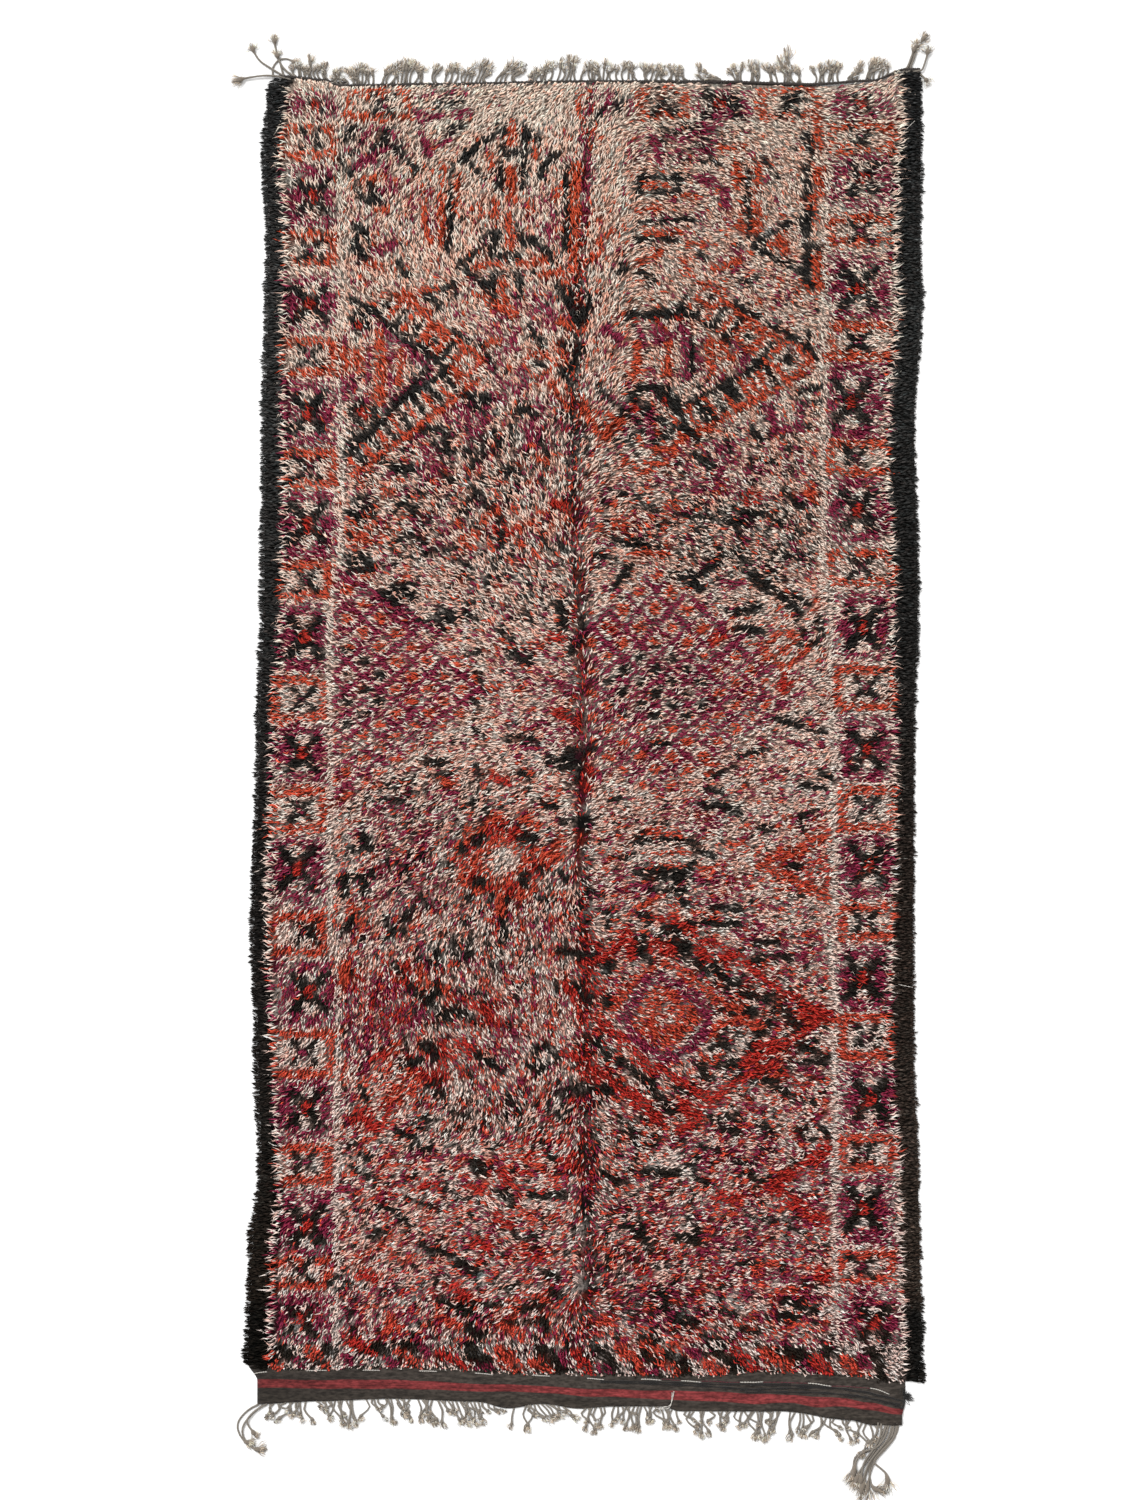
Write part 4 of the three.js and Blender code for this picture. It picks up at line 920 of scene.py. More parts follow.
def lock_piece(name, root, angle, length, width, height, heights, bend, colour, rng):
    """Many bent locks in one mesh. Each runs from its root through a belly to its tip:
    root + length * s * arrow, with its belly pushed to one side by the bend, at heights of its
    own. The belly is three points round that line at 90, 210 and 330 degrees."""
    count = len(root)
    arrow = np.stack([np.cos(angle), np.sin(angle), np.zeros(count)], 1)
    side = np.stack([-np.sin(angle), np.cos(angle), np.zeros(count)], 1)
    up = np.array([[0.0, 0.0, 1.0]])
    line = []
    for k, (share, push) in enumerate(((0.0, 0.0), (BELLY_SHARE, 1.0), (1.0, 0.0))):
        spot = root + arrow * (length * share)[:, None] + side * (bend * push)[:, None]
        spot[:, 2] = heights[k]
        line.append(spot)
    roll = rng.normal(0, 0.35, count)
    ring = []
    for turn in BELLY_TURNS:
        ring.append(line[1] + side * (np.cos(turn + roll) * width / 2)[:, None]
                    + up * (np.sin(turn + roll) * height / 2)[:, None])
    points = np.concatenate([line[0][:, None, :], np.stack(ring, 1), line[2][:, None, :]], 1)
    faces = (LOCK_FACES[None, :] + 5 * np.arange(count)[:, None]).ravel()
    rows = math.ceil(math.sqrt(count))
    cell = np.stack([np.arange(count) % rows, np.arange(count) // rows], 1)[:, None, :]
    local = LOCK_UV * np.array([0.92, 0.92 / 3]) + 0.04
    uv = (cell + local[None, :, :]) / rows
    piece = put_mesh(name, points.reshape(-1, 3), faces, np.full(6 * count, 3), uv.reshape(-1, 2))
    give(piece, "dye", np.repeat(colour, 5, axis=0), "FLOAT_COLOR")
    give(piece, "reach", np.tile([0, BELLY_SHARE, BELLY_SHARE, BELLY_SHARE, 1.0], count))
    return piece


# The rectangle that the knots' grid covers, a little more than the pile
GRID_X = (-0.985, 0.955)
GRID_Y = (-1.86, 1.845)


def knots_on_ground(pitch, rng):
    """Places of the knots: a square grid of the given pitch over the pile, every other row
    shifted by half, each moved by up to 0.45 of the pitch."""
    xs = np.arange(*GRID_X, pitch)
    ys = np.arange(*GRID_Y, pitch)
    x, y = np.meshgrid(xs, ys)
    x = x + (np.arange(len(ys)) % 2)[:, None] * pitch / 2
    x = x + rng.uniform(-0.45, 0.45, x.shape) * pitch
    y = y + rng.uniform(-0.45, 0.45, y.shape) * pitch
    return x.ravel(), y.ravel()


def shag(rng):
    """All locks of the pile, sorted into pieces by their place. The heads of the locks stand at
    the bed's height and more, rise to a knee and sink to their tips, lower near the rim."""
    x, y = knots_on_ground(KNOT_PITCH, rng)
    side, end, rise = pile_shape(x, y)
    keep = (side > SIDE_MARGIN) & (end > END_MARGIN)
    x, y, side, end, rise = (part[keep] for part in (x, y, side, end, rise))
    a, d = counts(x, y)
    angle = nap_angle(a, d)
    swirl = 0.24 * soft_noise(x, y, 0.10, 5) + 0.22 * soft_noise(x, y, 0.034, 6)
    strip_width = strip_widths(x, y)
    strip_width += 0.003 * soft_noise(x, y, 0.06, 8)
    strip = side < strip_width
    spike = ~strip & (side < strip_width + SPIKE_WIDTH) & (end > SPIKE_END)
    outward = np.where(x < 0, math.pi, 0.0) + 0.22 * soft_noise(x, y, 0.12, 21)
    middle = np.exp(-((x - read_table(PARTING, y)) / 0.014) ** 2)
    jitter = rng.normal(0, 0.20, len(x)) * (1 + 0.5 * spike + 2.0 * middle) * (1 - 0.35 * strip)
    angle = np.where(strip | spike, outward, angle + swirl) + jitter
    length = LOCK_LENGTH * np.exp(rng.normal(0, 0.18, len(x)))
    length = length * (1 + 0.4 * spike - 0.2 * middle + 0.045 * y)
    width = LOCK_WIDTH * np.exp(rng.normal(0, 0.18, len(x)))
    height = LOCK_HEIGHT * np.exp(rng.normal(0, 0.12, len(x)))
    rim_sway = 0.005 * soft_noise(x, y, 0.11, 22) + 0.004 * soft_noise(x, y, 0.045, 23)
    # Locks of the dark strips reach the pile's edge but not far past it
    to_edge = np.clip(side + rim_sway + rng.normal(0, 0.003, len(x)), 0.014, 0.030)
    length = np.where(strip, to_edge, length)
    width = np.where(strip, width * 1.3, width)
    # Locks at the two ends stop just past the end
    off_end = np.sin(angle) * length
    to_head = read_table(HEAD_EDGE, x) - y + 0.006
    to_foot = y - read_table(SHAG_FOOT, x) + 0.001
    room = np.where(off_end > 0, to_head, to_foot)
    shorter = np.maximum(length * room / np.maximum(np.abs(off_end), 1e-6), 0.012)
    length = np.where(np.abs(off_end) > room, shorter, length)
    seen_x = x + np.cos(angle) * length * SEEN_SHARE
    seen_y = y + np.sin(angle) * length * SEEN_SHARE
    dye = chart(seen_x, seen_y, rng)
    dye = np.where(strip, CHARCOAL, dye)
    dye = np.where(spike & (rng.random(len(x)) < np.where(y > 1.0, 0.62, 0.34)), IVORY, dye)
    lump = 0.0018 * soft_noise(x, y, 0.09, 3) + rng.normal(0, 0.0020, len(x))
    lump += np.where((dye == ORANGE) | (dye == RED) | (dye == PLUM), BRIGHT_LIFT, 0.0)
    full = 0.0055 + rise * 0.0155
    tip_x, tip_y = x + np.cos(angle) * length, y + np.sin(angle) * length
    tip_rise = pile_shape(tip_x, tip_y)[2]
    stray = rng.normal(0, 0.0016, len(x)) * rise
    root_z = np.maximum(0.0032, full * 0.40)
    tip_z = np.maximum(0.0030, 0.0035 + tip_rise * 0.0175 + lump * tip_rise + stray)
    belly_z = np.minimum(full * 0.86 + lump * rise, tip_z + 0.004)
    heights = [root_z, np.maximum(belly_z, 0.0035 + height / 2), tip_z]
    bend = rng.normal(0, 0.0052, len(x)) * (1 - 0.6 * strip)
    colour = dyed(dye, x, y, rng)
    root = np.stack([x, y, np.zeros(len(x))], 1)
    third = np.clip(np.floor((y - THIRD_START) / THIRD), 0, 2).astype(int)
    names = ("foot", "middle", "head")
    made = []
    for part in range(3):
        for right in (False, True):
            mine = (third == part) & ((x > read_table(PARTING, y)) == right)
            name = f"shag_{'right' if right else 'left'}_{names[part]}"
            sizes = (length[mine], width[mine], height[mine], [h[mine] for h in heights])
            made.append(lock_piece(name, root[mine], angle[mine], *sizes, bend[mine], colour[mine], rng))
    return made


def grid_faces(rows, columns, first=0, flip=False):
    """Corners of the quads of a grid of points, row by row, facing up when rows run to +Y and
    columns to +X."""
    k = (np.arange(rows - 1)[:, None] * columns + np.arange(columns - 1)[None, :]).ravel() + first
    quads = np.stack([k, k + 1, k + columns + 1, k + columns], 1)
    return quads[:, ::-1] if flip else quads


def closed_slab(name, x, y, top, bottom):
    """A closed slab between two heights over one grid in plan: its top, its underside, and a
    wall round the rim. Its top fills the upper half of its own map and its underside the lower,
    and the wall is a thin strip along the map's foot."""
    rows, columns = x.shape
    count = rows * columns
    points = np.concatenate([
        np.stack([x, y, top], 2).reshape(-1, 3),
        np.stack([x, y, bottom], 2).reshape(-1, 3),
    ])
    index = np.arange(count).reshape(rows, columns)
    rim = np.concatenate([index[0, :-1], index[:-1, -1], index[-1, :0:-1], index[:0:-1, 0]])
    ahead = np.roll(rim, -1)
    wall = np.stack([rim + count, ahead + count, ahead, rim], 1)
    quads = np.concatenate([grid_faces(rows, columns), grid_faces(rows, columns, count, True), wall])
    spread_u = (x - x.min()) / (x.max() - x.min())
    spread_v = (y - y.min()) / (y.max() - y.min())
    plan = np.stack([spread_u.ravel(), spread_v.ravel()], 1)
    half_map = plan * [0.96, 0.46]
    uv = np.concatenate([half_map + [0.02, 0.52], half_map + [0.02, 0.02]])[quads.ravel()]
    near = np.arange(len(rim)) / len(rim)
    far = near + 1 / len(rim)
    low, high = np.full(len(rim), 0.002), np.full(len(rim), 0.012)
    corners = ((near, low), (far, low), (far, high), (near, high))
    strip = np.stack([np.stack(corner, 1) for corner in corners], 1)
    uv[-4 * len(rim):] = strip.reshape(-1, 2)
    return put_mesh(name, points, quads.ravel(), np.full(len(quads), 4), uv)


def pile_bed():
    """The standing lower half of the pile: a lumpy closed layer under the locks, rolled down at
    its rim and parted along the middle."""
    rows, columns = 124, 62
    u = np.linspace(0, 1, columns)[None, :]
    v = np.linspace(0, 1, rows)[:, None]
    y = -1.80 + 3.59 * v + 0 * u
    left, right = read_table(SIDES, y, 1) + 0.020, read_table(SIDES, y, 2) - 0.020
    x = left + (right - left) * u
    foot, head = read_table(SHAG_FOOT, x) + 0.008, read_table(HEAD_EDGE, x) - 0.004
    y = foot + (head - foot) * v
    left, right = read_table(SIDES, y, 1) + 0.020, read_table(SIDES, y, 2) - 0.020
    x = left + (right - left) * u
    rise = pile_shape(x, y)[2]
    rng = np.random.default_rng(31)
    lump = 0.0016 * soft_noise(x, y, 0.05, 3) + 0.0012 * rng.uniform(-1, 1, x.shape)
    top = BED_RIM + rise * (BED_HEIGHT - BED_RIM + lump)
    piece = closed_slab("pile_bed", x, y, top, np.full(x.shape, 0.0031))
    dye = chart(x.ravel(), y.ravel(), rng)
    dye = np.where(pile_shape(x.ravel(), y.ravel())[0] < strip_widths(x, y).ravel(), CHARCOAL, dye)
    colour = dyed(dye, x.ravel(), y.ravel(), rng)
    # Painted shade: the bed is darkened by up to 0.65 along the parting, where the furrow lies in shadow
    near = np.abs(x.ravel() - read_table(PARTING, y.ravel())) / 0.035
    colour *= (1 - 0.65 * np.exp(-near * near))[:, None]
    give(piece, "dye", np.concatenate([colour, colour]), "FLOAT_COLOR")
    return piece


# The band's side edges
BAND_SIDES = (-0.9285, 0.876)


def band_ripple(x, y):
    """How far the bare band is lifted off the floor: low sines along it that fade out towards the
    pile, and narrow folds at its right end."""
    loose = np.clip((read_table(SHAG_FOOT, x) - y) / 0.10, 0, 1)
    low = 0.0011 * (1 + np.sin(x * 31 + 2.2 * np.sin(x * 7))) + 0.0007 * (1 + np.sin(x * 83 + y * 40))
    folds = 0.0042 * np.clip((x - 0.60) / 0.25, 0, 1) * (1 + np.sin((y + 0.35 * x) * 290)) / 2
    return loose * (low + folds)


def woven_ground():
    """The woven ground as one sheet, CLOTH_THICKNESS thick: flat under the pile, and bare at the
    foot as the band, where it is lifted by band_ripple. It widens from the band to the pile by the
    eased share s*s*(3 - 2*s)."""
    rows_under, rows_band, columns = 40, 24, 112
    u = np.linspace(0, 1, columns)[None, :]
    band_rows = np.linspace(0, 1, rows_band, endpoint=False)
    v = np.concatenate([band_rows, 1 + np.linspace(0, 1, rows_under)])[:, None]
    left, right = BAND_SIDES
    x = left + (right - left) * u + 0 * v
    band_foot = read_table(BAND_FOOT, x)
    band_head = read_table(SHAG_FOOT, x) + 0.02
    head = read_table(HEAD_EDGE, np.clip(x, -0.86, 0.93)) - 0.001
    y = np.where(v < 1, band_foot + (band_head - band_foot) * v, band_head + (head - band_head) * (v - 1))
    wide_left = read_table(SIDES, y, 1) + 0.016
    wide_right = read_table(SIDES, y, 2) - 0.016
    blend = np.clip((y + 1.835) / 0.05, 0, 1)
    blend = blend * blend * (3 - 2 * blend)
    from_left = left + (wide_left - left) * blend
    from_right = right + 0.009 * np.clip((y + 1.93) / 0.03, 0, 1) + (wide_right - right) * blend
    x = from_left + (from_right - from_left) * u
    ripple = band_ripple(x, y)
    piece = closed_slab("woven_ground", x, y, CLOTH_THICKNESS + ripple, ripple)
    from_stripe = (y - read_table(STRIPE, x, 1)) / read_table(STRIPE, x, 2)
    give(piece, "stripe", np.tile(from_stripe.ravel(), 2))
    return piece


def tube_piece(name, paths, radii, flats, corners, seed, ragged=0.0):
    """Many yarn ends in one mesh: each a round profile carried along its own path. The profile's
    radius changes along the path, and it is lower than it is wide by the share in flats. Paths
    are (yarns, stations, 3) and radii (yarns, stations)."""
    yarns, stations = radii.shape
    rng = np.random.default_rng(seed)
    ahead = np.gradient(paths, axis=1)
    ahead /= np.linalg.norm(ahead, axis=2, keepdims=True) + 1e-12
    side = np.stack([-ahead[:, :, 1], ahead[:, :, 0], np.zeros((yarns, stations))], 2)
    side /= np.linalg.norm(side, axis=2, keepdims=True) + 1e-12
    up = np.cross(ahead, side)
    turns = np.arange(corners) / corners * math.tau
    wobble = 1 + ragged * rng.uniform(-1, 1, (yarns, stations, corners))
    radius = radii[:, :, None] * wobble
    points = (paths[:, :, None, :] + side[:, :, None, :] * (np.cos(turns) * radius)[..., None]
              + up[:, :, None, :] * (np.sin(turns) * radius * flats)[..., None])
    per = stations * corners
    ring = np.arange(corners)
    k = np.arange(stations - 1)[:, None] * corners
    body = np.stack([k + ring, k + (ring + 1) % corners, k + (ring + 1) % corners + corners,
                     k + ring + corners], 2).reshape(-1, 4)
    along = np.arange(stations) / (stations - 1)
    u0 = np.repeat(along[:-1], corners)
    u1 = np.repeat(along[1:], corners)
    v0 = np.tile(ring / corners, stations - 1)
    v1 = v0 + 1 / corners
    body_uv = np.stack([np.stack([u0, v0], 1), np.stack([u0, v1], 1), np.stack([u1, v1], 1),
                        np.stack([u1, v0], 1)], 1).reshape(-1, 2)
    first = ring[::-1]
    last = ring + (stations - 1) * corners
    cap_uv = np.stack([0.03 + 0.02 * np.cos(turns), 0.5 + 0.02 * np.sin(turns)], 1)
    faces = np.concatenate([body.ravel(), first, last])
    sizes = np.concatenate([np.full(len(body), 4), [corners, corners]])
    rows = math.ceil(math.sqrt(yarns))
    cell = np.stack([np.arange(yarns) % rows, np.arange(yarns) // rows], 1)[:, None, :]
    local = np.concatenate([body_uv * [0.84, 0.92] + [0.12, 0.04], cap_uv, cap_uv + [0, 0.2]])
    uv = ((cell + local[None]) / rows).reshape(-1, 2)
    faces = (faces[None, :] + per * np.arange(yarns)[:, None]).ravel()
    sizes = np.tile(sizes, yarns)
    piece = put_mesh(name, points.reshape(-1, 3), faces, sizes, uv)
    give(piece, "along", np.tile(np.repeat(along, corners), yarns))
    return piece


# Where a warp end's yarn runs, how thick it is there, and how high: root, knot, then brush
STRAND_PROFILE = np.array([
    # share of length, radius, lift of its middle
    (0.00, 0.0026, 0.0026),
    (0.12, 0.0026, 0.0028),
    (0.24, 0.0025, 0.0032),
    (0.36, 0.0025, 0.0032),
    (0.42, 0.0026, 0.0028),
    (0.47, 0.0034, 0.0034),
    (0.51, 0.0048, 0.0046),
    (0.56, 0.0048, 0.0046),
    (0.62, 0.0034, 0.0036),
    (0.78, 0.0026, 0.0036),
    (0.90, 0.0014, 0.0034),
])
KNOT_STATION = 7

# Warp ends at the head: root across, tip across and down, and how full the brush is
HEAD_ENDS = [
    (296, 290, 64, 0.6), (299, 293, 58, 1.0), (301, 298, 60, 0.9), (304, 303, 66, 0.8),
    (306, 309, 64, 1.0), (308, 312, 52, 0.5), (311, 306, 70, 0.8), (316, 313, 64, 1.0),
    (320, 319, 62, 1.1), (325, 325, 60, 1.1), (328, 322, 68, 0.8), (331, 338, 68, 0.3),
    (334, 344, 66, 0.4), (342, 334, 72, 0.3), (338, 329, 74, 0.3), (345, 341, 76, 0.2),
    (353, 345, 66, 1.1), (355, 350, 66, 1.0), (357, 354, 68, 1.0), (359, 358, 62, 1.1),
    (362, 362, 60, 1.2), (364, 366, 64, 1.0), (369, 368, 66, 1.0), (373, 371, 66, 0.9),
    (361, 348, 74, 0.8), (381, 391, 66, 0.9), (383, 394, 64, 1.0), (386, 398, 62, 1.1),
    (390, 401, 61, 1.1), (394, 404, 59, 1.1), (401, 407, 58, 1.2), (404, 410, 56, 1.2),
    (407, 413, 57, 1.2), (410, 417, 59, 1.1), (414, 420, 61, 1.1), (419, 423, 64, 1.0),
    (423, 418, 66, 1.0), (398, 396, 70, 0.8), (434, 437, 61, 1.0), (437, 440, 64, 0.8),
    (445, 449, 67, 0.5), (448, 454, 61, 0.9), (451, 457, 60, 1.0), (454, 460, 62, 1.0),
    (463, 463, 68, 0.3), (464, 472, 66, 0.9), (468, 477, 62, 0.6), (471, 474, 70, 0.7),
    (475, 487, 58, 0.9), (479, 492, 58, 1.1), (483, 494, 64, 1.0), (486, 490, 70, 0.8),
    (496, 513, 66, 0.8), (500, 519, 60, 1.1), (505, 523, 59, 1.2), (513, 526, 62, 1.0),
    (516, 524, 68, 0.8), (528, 535, 70, 0.8), (532, 539, 66, 0.8), (536, 543, 70, 0.8),
    (529, 530, 74, 0.6), (541, 546, 66, 0.9), (541, 548, 61, 1.1), (545, 553, 59, 1.2),
    (549, 555, 62, 1.0), (557, 564, 55, 0.7), (561, 567, 64, 0.9), (566, 572, 52, 0.9),
    (570, 576, 53, 1.0), (575, 573, 60, 0.9), (581, 587, 66, 0.3), (590, 587, 60, 0.9),
    (592, 590, 58, 0.8), (594, 594, 62, 1.1), (597, 597, 61, 1.1), (599, 592, 68, 0.8),
    (603, 606, 56, 0.4), (606, 609, 66, 1.0), (611, 614, 62, 1.1), (617, 617, 64, 1.0),
    (623, 626, 60, 1.0), (628, 629, 59, 1.2), (633, 631, 62, 1.1), (637, 628, 68, 0.7),
    (645, 642, 61, 1.0), (648, 645, 64, 1.0), (645, 654, 62, 0.5), (650, 656, 65, 0.4),
    (654, 662, 62, 0.6), (657, 664, 64, 0.4), (661, 667, 70, 0.4), (665, 658, 68, 0.4),
    (668, 672, 62, 0.6), (671, 677, 64, 0.4), (676, 669, 66, 0.4), (680, 673, 70, 0.3),
    (678, 680, 64, 0.4), (684, 680, 66, 0.4), (688, 676, 72, 0.3), (702, 697, 61, 0.6),
    (706, 693, 74, 0.4), (709, 702, 68, 0.5), (714, 705, 74, 0.5), (719, 710, 76, 0.4),
    (721, 698, 78, 0.2), (735, 726, 67, 0.6), (737, 732, 62, 0.5), (741, 742, 60, 0.5),
    (739, 736, 70, 0.3), (751, 749, 57, 0.9), (754, 751, 64, 1.1), (757, 757, 57, 0.5),
    (758, 753, 70, 0.8), (770, 763, 61, 0.9), (773, 767, 62, 1.0), (777, 770, 66, 0.8),
    (784, 777, 52, 0.8), (786, 776, 62, 1.0), (788, 786, 44, 0.6), (790, 782, 60, 1.0),
    (793, 788, 62, 1.1), (797, 793, 63, 1.0), (801, 797, 66, 0.9), (795, 783, 68, 0.8),
    (815, 811, 64, 0.7), (819, 821, 61, 0.4), (822, 824, 66, 0.6), (824, 827, 60, 0.9),
    (828, 831, 57, 1.1), (833, 836, 59, 1.1), (838, 839, 61, 0.9), (829, 833, 66, 1.0),
    (847, 856, 74, 0.7), (850, 859, 70, 0.8), (853, 862, 66, 0.8), (857, 863, 59, 0.4),
    (866, 875, 58, 1.0), (869, 877, 55, 1.1), (873, 881, 56, 1.1), (878, 886, 57, 1.1),
    (882, 884, 66, 0.9), (885, 889, 62, 0.7), (871, 880, 64, 0.9), (889, 898, 73, 0.3),
]
FOOT_ENDS = [
    (270, 266, 1420, 0.9), (274, 268, 1416, 0.8), (278, 272, 1420, 0.6), (290, 276, 1424, 0.7),
    (286, 284, 1412, 0.6), (293, 288, 1418, 0.8), (299, 292, 1416, 0.6), (296, 300, 1418, 0.5),
    (300, 303, 1424, 0.4), (306, 313, 1426, 0.6), (316, 324, 1408, 0.5), (322, 328, 1412, 0.8),
    (325, 332, 1420, 0.9), (328, 334, 1422, 0.9), (331, 326, 1410, 0.7), (335, 342, 1424, 0.7),
    (338, 346, 1428, 0.9), (342, 350, 1430, 1.0), (346, 354, 1430, 0.9), (350, 356, 1424, 0.8),
    (352, 357, 1428, 0.6), (340, 344, 1418, 0.9), (366, 362, 1422, 0.5), (374, 388, 1422, 0.8),
    (372, 378, 1410, 0.4), (378, 384, 1408, 0.5), (386, 380, 1412, 0.4), (391, 394, 1424, 1.0),
    (388, 395, 1426, 0.8), (396, 406, 1410, 0.5), (400, 411, 1418, 0.8), (404, 412, 1424, 0.5),
    (398, 404, 1414, 0.5), (410, 405, 1416, 0.4), (418, 423, 1424, 0.5), (422, 425, 1418, 0.3),
    (426, 430, 1424, 0.8), (428, 434, 1428, 1.0), (432, 436, 1426, 0.9), (424, 431, 1416, 0.8),
    (438, 447, 1430, 0.5), (441, 454, 1414, 0.6), (445, 456, 1416, 0.6), (448, 458, 1412, 0.6),
    (452, 464, 1426, 0.8), (456, 468, 1424, 0.7), (460, 472, 1428, 0.8), (466, 476, 1424, 0.8),
    (470, 480, 1428, 0.9), (474, 484, 1424, 0.9), (478, 486, 1426, 0.8), (462, 472, 1416, 0.6),
    (468, 480, 1414, 0.6), (482, 490, 1414, 0.4), (488, 500, 1414, 0.5), (494, 506, 1412, 0.5),
    (514, 509, 1430, 0.6), (527, 530, 1434, 0.4), (526, 526, 1432, 0.2), (528, 540, 1418, 0.7),
    (531, 545, 1422, 0.8), (534, 550, 1422, 0.9), (537, 556, 1422, 0.9), (541, 560, 1420, 0.8),
    (545, 562, 1418, 0.6), (549, 568, 1416, 0.6), (553, 572, 1414, 0.5), (558, 578, 1418, 0.5),
    (563, 582, 1420, 0.5), (590, 583, 1432, 0.8), (586, 584, 1424, 0.6), (592, 592, 1436, 0.9),
    (596, 597, 1430, 0.9), (600, 601, 1430, 0.9), (588, 600, 1424, 0.7), (604, 596, 1426, 0.6),
    (614, 610, 1428, 0.8), (618, 614, 1424, 0.6), (622, 618, 1420, 0.5), (626, 620, 1424, 0.6),
    (628, 626, 1432, 0.8), (634, 630, 1432, 0.9), (638, 634, 1430, 0.8), (641, 636, 1434, 0.6),
    (630, 634, 1416, 0.5), (644, 650, 1424, 0.5), (652, 646, 1420, 0.4), (655, 660, 1412, 0.4),
    (648, 654, 1424, 0.6), (660, 668, 1430, 0.9), (664, 672, 1430, 1.0), (668, 678, 1432, 0.8),
    (672, 664, 1426, 0.7), (676, 680, 1424, 0.6), (658, 664, 1426, 0.8), (690, 696, 1436, 0.8),
    (694, 695, 1428, 0.6), (686, 694, 1422, 0.5), (700, 703, 1440, 0.9), (704, 708, 1438, 0.8),
    (702, 700, 1424, 0.7), (710, 712, 1424, 0.4), (722, 718, 1428, 0.7), (726, 724, 1432, 0.7),
    (730, 722, 1424, 0.6), (718, 726, 1420, 0.5), (736, 742, 1428, 0.5), (742, 737, 1430, 0.4),
    (744, 747, 1428, 0.6), (754, 752, 1440, 0.9), (757, 756, 1442, 1.0), (760, 759, 1440, 0.9),
    (763, 764, 1444, 0.4), (752, 758, 1428, 0.6), (770, 768, 1440, 0.8), (773, 770, 1436, 0.8),
    (777, 772, 1434, 0.7), (780, 768, 1426, 0.6), (766, 772, 1424, 0.5), (790, 788, 1440, 0.9),
    (795, 786, 1442, 0.7), (800, 797, 1434, 0.6), (803, 801, 1438, 0.8), (806, 806, 1440, 0.7),
    (812, 804, 1432, 0.5), (821, 816, 1440, 0.9), (820, 813, 1438, 0.7), (826, 838, 1436, 0.5),
    (830, 842, 1442, 0.5), (834, 840, 1430, 0.4), (846, 852, 1446, 0.7), (850, 854, 1438, 0.5),
    (856, 858, 1444, 0.7), (842, 850, 1430, 0.4), (862, 866, 1450, 0.8), (866, 868, 1448, 0.8),
    (870, 876, 1444, 0.8), (874, 878, 1440, 0.6), (878, 873, 1450, 0.7),
]


def metres(across, down):
    """Places in metres of the chart's counts."""
    return (across - MIDDLE[0]) * COUNT, (MIDDLE[1] - down) * COUNT


def fringe(name, edge, rows, outward, off, full, reach, seed):
    """Knotted warp ends along an edge, a row of the chart each. From its root an end runs outward
    in proportion to s and sideways to s**1.5, with a sine bow, at the heights of STRAND_PROFILE.
    The smaller the power reach, the nearer its knot stands to its tip."""
    rng = np.random.default_rng(seed)
    table = np.array(rows)
    count = len(table)
    x, _ = metres(table[:, 0], 0)
    tip_x, tip_y = metres(table[:, 1], table[:, 2])
    root_y = read_table(edge, x) + outward * off
    share = STRAND_PROFILE[:, 0][None, :] ** reach
    bow = rng.normal(0, 0.0055 if outward > 0 else 0.0100, count)
    path = np.zeros((count, len(STRAND_PROFILE), 3))
    path[:, :, 0] = x[:, None] + (tip_x - x)[:, None] * share ** 1.5
    path[:, :, 0] += bow[:, None] * np.sin(share * math.pi * 1.7)
    path[:, :, 1] = root_y[:, None] + (tip_y - root_y)[:, None] * share
    lift = rng.uniform(0, 0.0035, count)[:, None] * np.sin(share * math.pi)
    radius = STRAND_PROFILE[:, 1][None, :] * np.exp(rng.normal(0, 0.08, count))[:, None]
    path[:, :, 2] = np.maximum(STRAND_PROFILE[:, 2][None, :] + lift, radius + 0.0002)
    knots = path[:, KNOT_STATION, :]
    heading = np.arctan2(tip_y - knots[:, 1], tip_x - knots[:, 0])
    size = np.hypot(tip_y - knots[:, 1], tip_x - knots[:, 0])
    return (tube_piece(name, path, radius, 0.95, 6, seed, 0.16),
            brush(name + "_brushes", knots, heading, size, table[:, 3] * full, seed))


def brush(name, knots, heading, size, fullness, seed, hairs=24, colour=(0.68, 0.56, 0.44)):
    """The frayed brush past each knot: a fan of fine hairs that start across the knot's width and
    spread by an angle, both wider where the brush is fuller."""
    rng = np.random.default_rng(seed + 100)
    count = len(knots) * hairs
    full = np.repeat(fullness, hairs)
    turn = np.repeat(heading, hairs)
    across = rng.uniform(-1, 1, count) * (0.0012 + 0.0030 * full)
    root = np.repeat(knots, hairs, axis=0)
    root[:, 0] += -np.sin(turn) * across
    root[:, 1] += np.cos(turn) * across
    angle = turn + rng.normal(0, 0.13 + 0.25 * full, count) + across * 60
    length = np.repeat(size, hairs) * rng.uniform(0.50, 1.15, count)
    width = 0.0020 * np.exp(rng.normal(0, 0.2, count))
    # Lowest and highest place of a hair's root, belly and tip
    heights = [rng.uniform(*pair, count) for pair in ((0.002, 0.006), (0.003, 0.0105), (0.0006, 0.0085))]
    shade = np.repeat(rng.normal(0, 0.28, len(knots)), hairs) + rng.normal(0, 0.55, count)
    tint = np.clip(np.array([colour]) * np.exp(shade)[:, None], 0.02, 0.8)
    bend = rng.normal(0, 0.0042, count)
    return lock_piece(name, root, angle, length, width, width * 0.8, heights, bend, tint, rng)


# Length of one turn of the head cord's twine
TWINE_PITCH = 0.011


